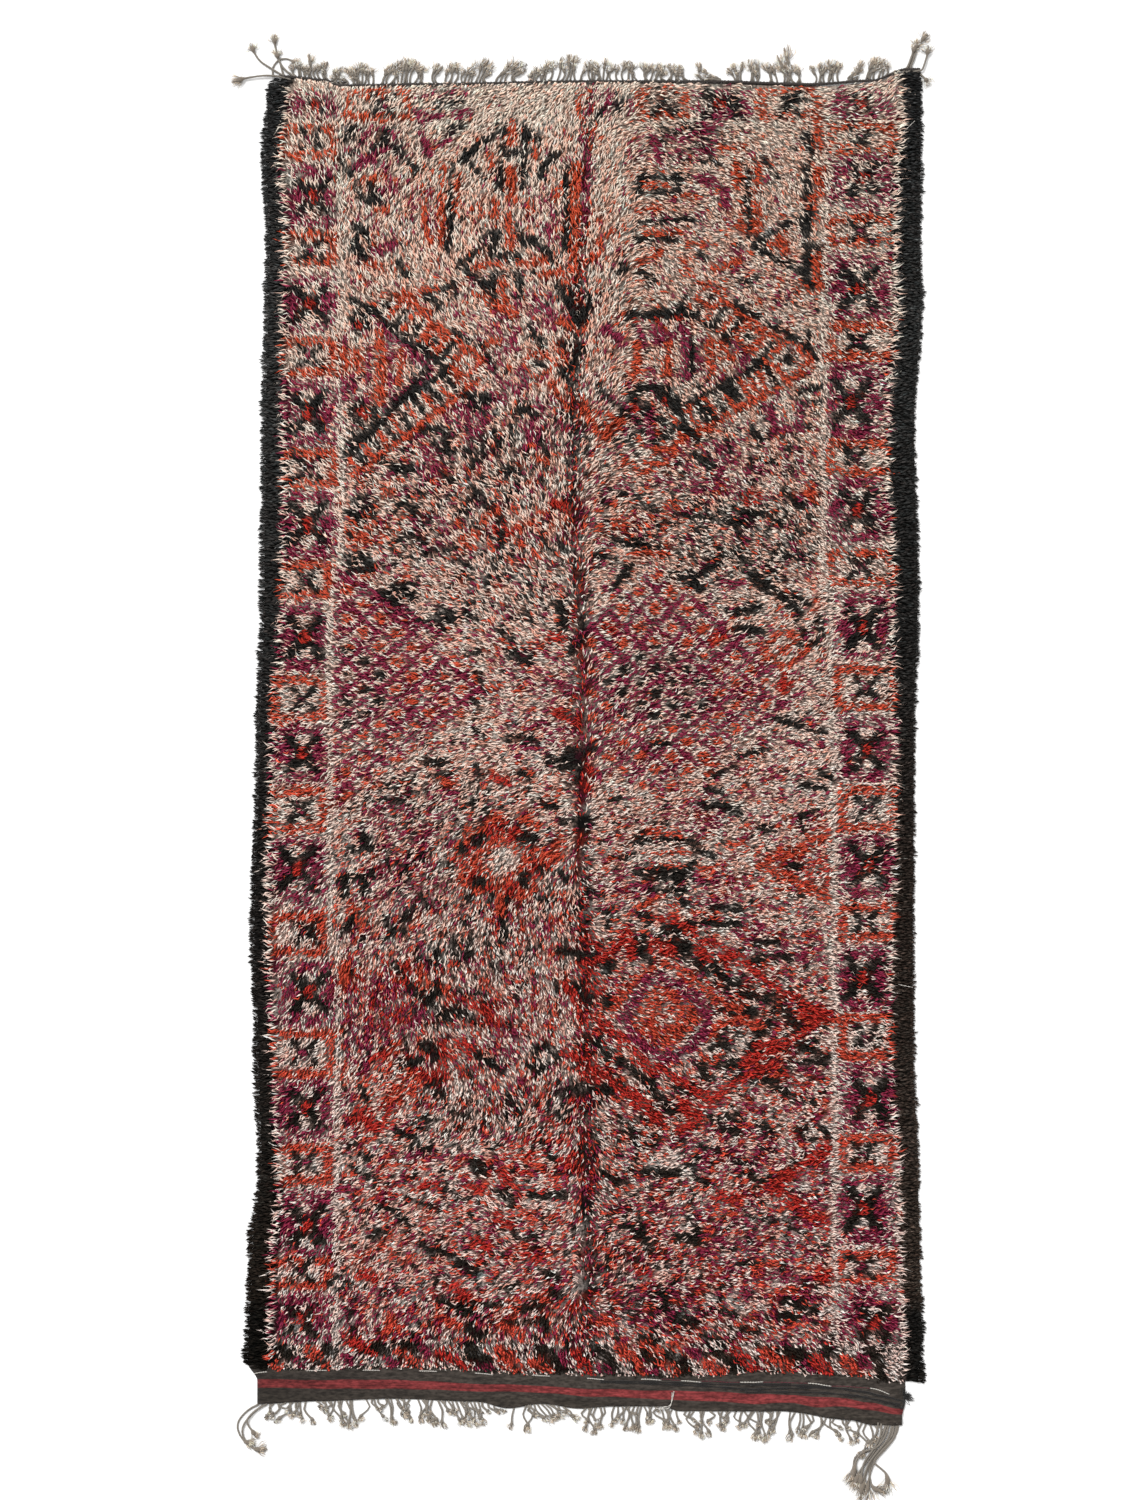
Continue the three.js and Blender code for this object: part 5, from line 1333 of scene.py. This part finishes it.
def edge_cord():
    """The dark cord twined along the head edge: two yarns on opposite sides of a helix about one
    line, a turn for each TWINE_PITCH, squashed to an oval."""
    x = np.linspace(-0.868, 0.926, 560)
    y = read_table(HEAD_EDGE, np.clip(x, -0.860, 0.930)) + 0.0033
    turn = x / TWINE_PITCH * math.tau
    paths, radii = [], []
    for phase in (0, math.pi):
        aside = 0.0022 * np.cos(turn + phase)
        rise = 0.0052 + 0.0018 * np.sin(turn + phase)
        paths.append(np.stack([x, y + aside, rise], 1))
        radii.append(0.0026 + 0.0005 * np.sin(x * 61 + phase))
    return tube_piece("head_cord", np.array(paths), np.array(radii), 1.0, 5, 3)


# Long warp ends at the corners: six points from root to tip, each across and down
CORNER_STRANDS = {
    "head_left_corner": [
        ((284, 78), (282, 70), (280, 62), (277, 54), (275, 44), (275, 33)),
        ((290, 79), (280, 74), (270, 68), (260, 61), (254, 52), (250, 42)),
        ((291, 80), (280, 77), (268, 76), (256, 77), (244, 79), (230, 83)),
        ((273, 77), (273, 68), (278, 61), (285, 59), (292, 61), (298, 68)),
        ((297, 78), (290, 74), (284, 69), (280, 63), (278, 58), (276, 50)),
    ],
    "head_right_corner": [
        ((905, 75), (908, 68), (911, 61), (914, 54), (916, 48), (918, 42)),
        ((908, 74), (911, 66), (914, 58), (917, 49), (922, 41), (928, 33)),
        ((912, 72), (918, 71), (922, 70), (925, 62), (927, 55), (928, 44)),
        ((906, 73), (912, 70), (918, 72), (922, 76), (925, 79), (928, 84)),
        ((901, 76), (904, 71), (908, 66), (911, 58), (913, 52), (915, 44)),
    ],
    "foot_left_corner": [
        ((259, 1404), (248, 1410), (239, 1420), (238, 1430), (244, 1440), (257, 1446)),
        ((263, 1405), (252, 1414), (243, 1426), (244, 1438), (254, 1448), (269, 1449)),
        ((267, 1404), (256, 1410), (248, 1418), (248, 1424), (252, 1430), (258, 1438)),
    ],
    "foot_right_corner": [
        ((898, 1423), (896, 1434), (884, 1446), (868, 1458), (860, 1474), (857, 1490)),
        ((894, 1423), (892, 1435), (882, 1447), (872, 1459), (864, 1480), (861, 1500)),
        ((889, 1423), (885, 1436), (876, 1447), (862, 1452), (855, 1464), (852, 1488)),
        ((885, 1423), (882, 1436), (872, 1449), (856, 1456), (853, 1468), (850, 1486)),
        ((896, 1423), (895, 1436), (885, 1449), (874, 1462), (868, 1482), (866, 1504)),
        ((892, 1423), (888, 1438), (878, 1450), (868, 1464), (862, 1484), (860, 1502)),
        ((893, 1423), (890, 1437), (880, 1451), (870, 1466), (872, 1486), (889, 1494)),
        ((897, 1423), (893, 1438), (880, 1452), (874, 1462), (886, 1474), (888, 1496)),
        ((881, 1423), (880, 1436), (872, 1450), (864, 1462), (861, 1476), (860, 1490)),
        ((878, 1422), (876, 1434), (870, 1441), (866, 1446), (864, 1450), (862, 1456)),
        ((887, 1423), (882, 1437), (875, 1450), (866, 1462), (858, 1474), (853, 1492)),
    ],
}
CORNER_PROFILE = np.array([
    # share of length, radius
    (0.00, 0.0030), (0.07, 0.0029), (0.14, 0.0029), (0.21, 0.0028), (0.28, 0.0028), (0.35, 0.0028),
    (0.42, 0.0028), (0.49, 0.0027), (0.56, 0.0027), (0.63, 0.0027), (0.70, 0.0027), (0.77, 0.0028),
    (0.80, 0.0038), (0.83, 0.0064), (0.86, 0.0066), (0.89, 0.0044), (0.93, 0.0028), (0.96, 0.0018),
])
# The row of CORNER_PROFILE that stands for the knot
CORNER_KNOT = -5

# Loose wefts on the band, each across and down through four points
PALE_FLOATS = [
    ((254, 1373.5), (258, 1372.6), (262, 1372), (267, 1371.6)),
    ((306, 1370.4), (312, 1370.4), (320, 1370.2), (327, 1370.2)),
    ((362, 1370), (368, 1370), (373, 1370), (380, 1370.2)),
    ((419, 1370.8), (425, 1370.8), (431, 1371), (437, 1371.2)),
    ((475, 1372.8), (481, 1373.2), (487, 1373.8), (493, 1374.6)),
    ((532, 1375), (538, 1375.4), (544, 1375.6), (550, 1376)),
    ((587, 1378), (593, 1378.4), (598, 1379), (604, 1379.4)),
    ((641, 1379), (648, 1379), (654, 1379.4), (661, 1380)),
    ((681, 1380.6), (688, 1380.8), (694, 1381.4), (701, 1382)),
    ((740, 1382), (748, 1382), (756, 1382), (763, 1381.6)),
    ((808, 1383), (816, 1383.6), (824, 1385), (831, 1386)),
    ((870, 1388), (876, 1389), (882, 1391), (889, 1394)),
]
PLUM_FLOATS = [
    ((701, 1381), (714, 1381), (727, 1382), (740, 1382)),
    ((763, 1382), (778, 1382), (793, 1382.6), (808, 1383)),
    ((831, 1386), (844, 1386), (857, 1387), (870, 1388)),
    ((661, 1379), (668, 1379), (674, 1380), (681, 1380)),
]
DARK_FLOATS = [
    ((740, 1390), (790, 1388), (843, 1389), (899, 1400)),
    ((745, 1392), (790, 1392), (840, 1394), (900, 1404)),
    ((750, 1385), (810, 1386), (860, 1391), (904, 1401)),
    ((600, 1382), (660, 1384), (720, 1387), (760, 1390)),
    ((840, 1394), (860, 1396), (880, 1401), (902, 1407)),
    ((600, 1381), (660, 1382), (720, 1384), (790, 1384)),
    ((903, 1390), (904, 1396), (904, 1402), (901, 1409)),
]
STRAY_ENDS = [
    ((901, 136), (905, 131), (909, 127), (914, 122)),
    ((898, 984), (902, 985), (907, 986), (912, 987)),
]
LOOSE_END = [
    ((656, 1408), (668, 1408), (672, 1400), (674, 1391)),
    ((660, 1407), (670, 1405), (672, 1396), (672, 1392)),
]


def smooth_path(routes, share):
    """Places in metres along smooth curves through the charted points of each route. Between two
    points a curve is the cubic that passes both with the slopes of their neighbours' chords."""
    points = np.stack(metres(*np.moveaxis(np.array(routes, float), 2, 0)), 2)
    last = points.shape[1] - 1
    step = np.clip((share * last).astype(int), 0, last - 1)
    t = (share * last - step)[None, :, None]
    before, start = points[:, np.maximum(step - 1, 0)], points[:, step]
    end, after = points[:, step + 1], points[:, np.minimum(step + 2, last)]
    return 0.5 * (2 * start + (end - before) * t + (2 * before - 5 * start + 4 * end - after) * t ** 2
                  + (3 * start - before - 3 * end + after) * t ** 3)


def weft_floats(name, routes, radius, beads, lift):
    """Weft yarns that lie loose on the band along smooth paths. The radius swells once for each
    warp that a yarn covers, and the yarn keeps a little above the band."""
    share = np.linspace(0, 1, 61)
    plan = smooth_path(routes, share)
    swell = 0.70 + 0.30 * np.cos(share * math.tau * beads)
    rise = CLOTH_THICKNESS + band_ripple(plan[:, :, 0], plan[:, :, 1]) + lift
    path = np.concatenate([plan, rise[:, :, None]], 2)
    return tube_piece(name, path, np.tile(radius * swell, (len(routes), 1)), 0.9, 5, 5)


def corner_strands(name, routes, seed):
    """Long warp ends along smooth paths, with the heights staggered so that they cross over each
    other, and a brush past each knot."""
    rng = np.random.default_rng(seed)
    share = CORNER_PROFILE[:, 0]
    plan = smooth_path(routes, share)
    radius = CORNER_PROFILE[:, 1][None, :] * np.exp(rng.normal(0, 0.06, len(routes)))[:, None]
    lift = (np.arange(len(routes)) % 3 * 0.0030)[:, None] * np.sin(share * math.pi)[None, :]
    path = np.concatenate([plan, (radius * 0.97 + 0.0002 + lift)[:, :, None]], 2)
    knots = path[:, CORNER_KNOT, :]
    reach = smooth_path(routes, np.array([1.0]))[:, 0] - knots[:, :2]
    size = np.maximum(np.hypot(reach[:, 0], reach[:, 1]), 0.026)
    return (tube_piece(name, path, radius, 0.95, 7, seed, 0.12),
            brush(name + "_brushes", knots, np.arctan2(reach[:, 1], reach[:, 0]), size,
                  np.full(len(size), 1.4 if "head" in name else 0.8), seed, 36))


def new_material(name, roughness, sheen, bump):
    """A wool finish to fill in: its tree, its links and its main shader, with the constants that
    every yarn here shares set on the shader's own sockets."""
    material = bpy.data.materials.new(name)
    material.use_nodes = True
    tree = material.node_tree
    shader = tree.nodes["Principled BSDF"]
    shader.inputs["Roughness"].default_value = roughness
    shader.inputs["Specular IOR Level"].default_value = 0.1
    shader.inputs["Sheen Weight"].default_value = sheen
    shader.inputs["Sheen Roughness"].default_value = 0.5
    relief = tree.nodes.new("ShaderNodeBump")
    relief.inputs["Strength"].default_value = bump
    relief.inputs["Distance"].default_value = 0.0008
    tree.links.new(relief.outputs["Normal"], shader.inputs["Normal"])
    return material, tree, shader, relief


def node(tree, kind, **settings):
    """A node of a kind, with plain settings and the defaults of its named sockets."""
    made = tree.nodes.new(kind)
    for key, value in settings.items():
        if hasattr(made, key):
            setattr(made, key, value)
        else:
            made.inputs[key.replace("_", " ")].default_value = value
    return made


def times(tree, first, second):
    """Two colours multiplied."""
    mix = tree.nodes.new("ShaderNodeMix")
    mix.data_type = "RGBA"
    mix.blend_type = "MULTIPLY"
    mix.inputs[0].default_value = 1.0
    tree.links.new(first, mix.inputs[6])
    tree.links.new(second, mix.inputs[7])
    return mix.outputs[2]


def grey_ramp(tree, value, low_at, low, high_at, high):
    """A value turned into a grey between two levels."""
    ramp = tree.nodes.new("ShaderNodeMapRange")
    for socket, number in zip(("From Min", "From Max", "To Min", "To Max"), (low_at, high_at, low, high)):
        ramp.inputs[socket].default_value = number
    tree.links.new(value, ramp.inputs["Value"])
    return ramp.outputs["Result"]


def lock_wool(name, roughness, sheen):
    """Finish of the locks: the knot's dye, darkened towards the root as painted shade, and mottled
    as loosely spun wool is, with the mottle also as relief."""
    material, tree, shader, relief = new_material(name, roughness, sheen, 0.6)
    shader.inputs["Specular IOR Level"].default_value = 0.03
    dye = node(tree, "ShaderNodeAttribute", attribute_name="dye")
    reach = node(tree, "ShaderNodeAttribute", attribute_name="reach")
    # Painted shade: each lock is darkened towards its root, to half its dye there, where the pile's own
    # shadow falls
    painted_root_shade = grey_ramp(tree, reach.outputs["Fac"], 0.0, 0.50, 0.55, 1.0)
    place = node(tree, "ShaderNodeTexCoord")
    fibre = node(tree, "ShaderNodeTexNoise", Scale=520.0, Detail=2.0)
    tree.links.new(place.outputs["Object"], fibre.inputs["Vector"])
    mottle = grey_ramp(tree, fibre.outputs["Fac"], 0.3, 0.82, 0.7, 1.20)
    colour = times(tree, times(tree, dye.outputs["Color"], painted_root_shade), mottle)
    tree.links.new(colour, shader.inputs["Base Color"])
    tree.links.new(fibre.outputs["Fac"], relief.inputs["Height"])
    return material


def bed_wool(name):
    """Finish of the standing wool under the locks: the same dyes, darkened to half or less as painted deep
    shade and darkest between its tufts.
    """
    material, tree, shader, relief = new_material(name, 0.95, 0.0, 0.8)
    dye = node(tree, "ShaderNodeAttribute", attribute_name="dye")
    place = node(tree, "ShaderNodeTexCoord")
    tuft = node(tree, "ShaderNodeTexVoronoi", Scale=160.0)
    tree.links.new(place.outputs["Object"], tuft.inputs["Vector"])
    # Painted shade: the bed's dye is cut to between a half and a tenth, darkest at the rims of its tufts
    painted_bed_shade = grey_ramp(tree, tuft.outputs["Distance"], 0.1, 0.50, 0.8, 0.10)
    tree.links.new(times(tree, dye.outputs["Color"], painted_bed_shade), shader.inputs["Base Color"])
    tree.links.new(tuft.outputs["Distance"], relief.inputs["Height"])
    return material


def yarn_wool(name, colour, knot_colour, ply):
    """Finish of a twisted yarn: its ply turns as diagonal waves in the piece's own space, with painted
    shade in the grooves, and it is browner at the knot.
    """
    material, tree, shader, relief = new_material(name, 0.9, 0.2, 1.0)
    along = node(tree, "ShaderNodeAttribute", attribute_name="along")
    place = node(tree, "ShaderNodeTexCoord")
    twist = node(tree, "ShaderNodeTexWave", Scale=ply, Distortion=1.0, Detail=1.0)
    twist.bands_direction = "DIAGONAL"
    tree.links.new(place.outputs["Object"], twist.inputs["Vector"])
    mix = tree.nodes.new("ShaderNodeMix")
    mix.data_type = "RGBA"
    mix.inputs[6].default_value = (*colour, 1)
    mix.inputs[7].default_value = (*knot_colour, 1)
    tree.links.new(grey_ramp(tree, along.outputs["Fac"], 0.62, 0.0, 0.76, 1.0), mix.inputs[0])
    # Painted shade: the yarn's colour darkens in the twist's grooves and lightens on its ridges, with the
    # same waves as its relief
    shade = grey_ramp(tree, twist.outputs["Fac"], 0.0, 0.72, 1.0, 1.15)
    tree.links.new(times(tree, mix.outputs[2], shade), shader.inputs["Base Color"])
    tree.links.new(twist.outputs["Fac"], relief.inputs["Height"])
    return material


def flat_weave():
    """Finish of the bare band and the back: weft ribs across it, warps under them, dark brown
    wool with one red stripe, counted in half heights from the stripe's own middle line."""
    material, tree, shader, relief = new_material("flat_weave", 0.95, 0.1, 1.0)
    place_in_stripe = node(tree, "ShaderNodeAttribute", attribute_name="stripe")
    place = node(tree, "ShaderNodeTexCoord")
    weft = node(tree, "ShaderNodeTexWave", Scale=260.0, Distortion=0.6, Detail=1.0)
    weft.bands_direction = "Y"
    warp = node(tree, "ShaderNodeTexWave", Scale=110.0, Distortion=0.4, Detail=1.0)
    warp.bands_direction = "X"
    cloud = node(tree, "ShaderNodeTexNoise", Scale=38.0, Detail=4.0)
    stretch = node(tree, "ShaderNodeMapping")
    stretch.inputs["Scale"].default_value = (0.25, 3.0, 1.0)
    tree.links.new(place.outputs["Object"], stretch.inputs["Vector"])
    tree.links.new(stretch.outputs["Vector"], cloud.inputs["Vector"])
    for rib in (weft, warp):
        tree.links.new(place.outputs["Object"], rib.inputs["Vector"])
    wave = node(tree, "ShaderNodeTexNoise", Scale=6.0, Detail=1.0)
    tree.links.new(place.outputs["Object"], wave.inputs["Vector"])
    sway = grey_ramp(tree, wave.outputs["Fac"], 0.3, -0.26, 0.7, 0.26)
    moved = node(tree, "ShaderNodeMath", operation="ADD")
    tree.links.new(place_in_stripe.outputs["Fac"], moved.inputs[0])
    tree.links.new(sway, moved.inputs[1])
    stripes = node(tree, "ShaderNodeValToRGB")
    bands = [
        # place in half heights of the stripe, colour
        (-3.0, (0.045, 0.037, 0.030)),
        (-1.06, (0.047, 0.038, 0.032)),
        (-0.94, (0.185, 0.030, 0.030)),
        (-0.36, (0.225, 0.036, 0.037)),
        (-0.26, (0.130, 0.023, 0.023)),
        (-0.12, (0.215, 0.034, 0.035)),
        (0.94, (0.190, 0.031, 0.032)),
        (1.06, (0.047, 0.038, 0.032)),
        (3.0, (0.052, 0.043, 0.036)),
    ]
    while len(stripes.color_ramp.elements) < len(bands):
        stripes.color_ramp.elements.new(0.5)
    for element, (height, colour) in zip(stripes.color_ramp.elements, bands):
        element.position = (height + 3) / 6
        element.color = (*colour, 1)
    tree.links.new(grey_ramp(tree, moved.outputs["Value"], -3.0, 0.0, 3.0, 1.0), stripes.inputs["Fac"])
    fleck = node(tree, "ShaderNodeTexNoise", Scale=120.0, Detail=2.0)
    squeeze = node(tree, "ShaderNodeMapping")
    squeeze.inputs["Scale"].default_value = (0.55, 1.5, 1.0)
    tree.links.new(place.outputs["Object"], squeeze.inputs["Vector"])
    tree.links.new(squeeze.outputs["Vector"], fleck.inputs["Vector"])
    speckle = grey_ramp(tree, fleck.outputs["Fac"], 0.35, 0.60, 0.65, 1.40)
    shade = times(tree, speckle, grey_ramp(tree, cloud.outputs["Fac"], 0.35, 0.72, 0.65, 1.28))
    split = tree.nodes.new("ShaderNodeSeparateXYZ")
    tree.links.new(place.outputs["Object"], split.inputs["Vector"])
    shade = times(tree, shade, grey_ramp(tree, split.outputs["X"], -0.93, 0.66, -0.35, 1.0))
    # Painted shade: the colour darkens between the weft ribs and lightens on them, with the same waves as
    # their relief
    rib = grey_ramp(tree, weft.outputs["Fac"], 0.0, 0.82, 1.0, 1.12)
    colour = times(tree, times(tree, stripes.outputs["Color"], shade), rib)
    tree.links.new(colour, shader.inputs["Base Color"])
    height = node(tree, "ShaderNodeMath", operation="MULTIPLY")
    tree.links.new(weft.outputs["Fac"], height.inputs[0])
    tree.links.new(warp.outputs["Fac"], height.inputs[1])
    tree.links.new(height.outputs["Value"], relief.inputs["Height"])
    return material


# The camera hangs above the chart's counts VIEW_MIDDLE and takes in this much floor lengthwise
VIEW_MIDDLE = (562.5, 750)
VIEW_LENGTH = 4.2
CAMERA_HEIGHT = 12.0


def put_camera():
    """A camera straight above the rug, far enough off that the pile's height hardly shows."""
    camera = bpy.data.cameras.new("camera")
    camera.sensor_width = 36.0
    camera.lens = 36.0 * CAMERA_HEIGHT / VIEW_LENGTH
    holder = bpy.data.objects.new("camera", camera)
    holder.location = (*metres(*VIEW_MIDDLE), CAMERA_HEIGHT)
    bpy.context.scene.collection.objects.link(holder)
    bpy.context.scene.camera = holder


# How far the floor runs on each side
FLOOR_REACH = 60.0


def put_lights_and_floor():
    """A bright even sky, one wide soft lamp from the head's left, and a pale floor."""
    world = bpy.data.worlds.new("studio")
    world.use_nodes = True
    world.node_tree.nodes["Background"].inputs["Color"].default_value = (1.0, 0.99, 0.98, 1)
    world.node_tree.nodes["Background"].inputs["Strength"].default_value = 0.75
    bpy.context.scene.world = world
    sun = bpy.data.lights.new("soft_lamp", "SUN")
    sun.energy = 2.75
    sun.angle = math.radians(24)
    lamp = bpy.data.objects.new("soft_lamp", sun)
    lamp.rotation_euler = (math.radians(-32), math.radians(-26), 0)
    bpy.context.scene.collection.objects.link(lamp)
    x = np.array([-FLOOR_REACH, FLOOR_REACH, FLOOR_REACH, -FLOOR_REACH])
    y = np.array([-FLOOR_REACH, -FLOOR_REACH, FLOOR_REACH, FLOOR_REACH])
    floor = put_mesh("floor", np.stack([x, y, np.zeros(4)], 1), np.arange(4), np.array([4]), None, False)
    material, _, shader, _ = new_material("pale_floor", 0.9, 0.0, 0.1)
    shader.inputs["Base Color"].default_value = (0.93, 0.93, 0.93, 1)
    floor.data.materials.append(material)
    bpy.context.scene.view_settings.view_transform = "Standard"
    return floor


put_camera()
floor = put_lights_and_floor()
rng = np.random.default_rng(7)

wool = lock_wool("shag_wool", 0.95, 0.0)
locks = shag(rng)
for piece in locks:
    piece.data.materials.append(wool)
    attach(piece, "root")
    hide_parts("rug_cloth")

bed = pile_bed()
bed.data.materials.append(bed_wool("standing_wool"))
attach(bed, "root")
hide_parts("rug_cloth")

ground = woven_ground()
ground.data.materials.append(flat_weave())
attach(ground, "root")
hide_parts("rug_cloth")

cord = edge_cord()
cord.data.materials.append(yarn_wool("edge_cord_wool", (0.045, 0.035, 0.030), (0.045, 0.035, 0.030), 300.0))
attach(cord, "root")
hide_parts("head_edge_cord")

warp = yarn_wool("warp_yarn", (0.25, 0.22, 0.185), (0.24, 0.20, 0.16), 260.0)
brushed = lock_wool("frayed_warp", 0.9, 0.1)
ends = []
for piece in fringe("head_warp_ends", HEAD_EDGE, HEAD_ENDS, 1, 0.006, 1.0, 1.0, 41):
    ends.append((piece, "head_fringe"))
for piece in fringe("foot_warp_ends", BAND_FOOT, FOOT_ENDS, -1, 0.0, 0.60, 0.55, 42):
    ends.append((piece, "foot_fringe"))
for seed, (name, routes) in enumerate(CORNER_STRANDS.items()):
    cad_name = name.replace("corner", "tassel")
    for piece in corner_strands(name, routes, 50 + seed):
        ends.append((piece, cad_name))
pale = yarn_wool("pale_weft", (0.72, 0.68, 0.62), (0.66, 0.62, 0.57), 300.0)
plum = yarn_wool("plum_weft", (0.15, 0.022, 0.036), (0.13, 0.02, 0.03), 300.0)
dark = yarn_wool("dark_weft", (0.009, 0.007, 0.006), (0.010, 0.008, 0.007), 300.0)
floats = [
    weft_floats("pale_floats", PALE_FLOATS, 0.0018, 9, 0.0012),
    weft_floats("plum_floats", PLUM_FLOATS, 0.0013, 12, 0.0008),
    weft_floats("dark_floats", DARK_FLOATS, 0.0036, 7, 0.0002),
    weft_floats("loose_weft_end", LOOSE_END, 0.0020, 6, 0.0026),
    weft_floats("stray_ends", STRAY_ENDS, 0.0012, 4, 0.0170),
    brush("edge_tuft", np.array([[*metres(903, 1396), 0.006]] * 3), np.radians([-28.0, 4.0, 40.0]),
          np.array([0.038, 0.026, 0.020]), np.array([0.9, 0.9, 0.9]), 61, 20, (0.016, 0.014, 0.013)),
]
for piece, finish in zip(floats, (pale, plum, dark, pale, pale, brushed)):
    piece.data.materials.append(finish)
    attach(piece, "root")
    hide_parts("rug_cloth")

for piece, cad_name in ends:
    piece.data.materials.append(brushed if "brush" in piece.name else warp)
    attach(piece, "root")
    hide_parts(cad_name)
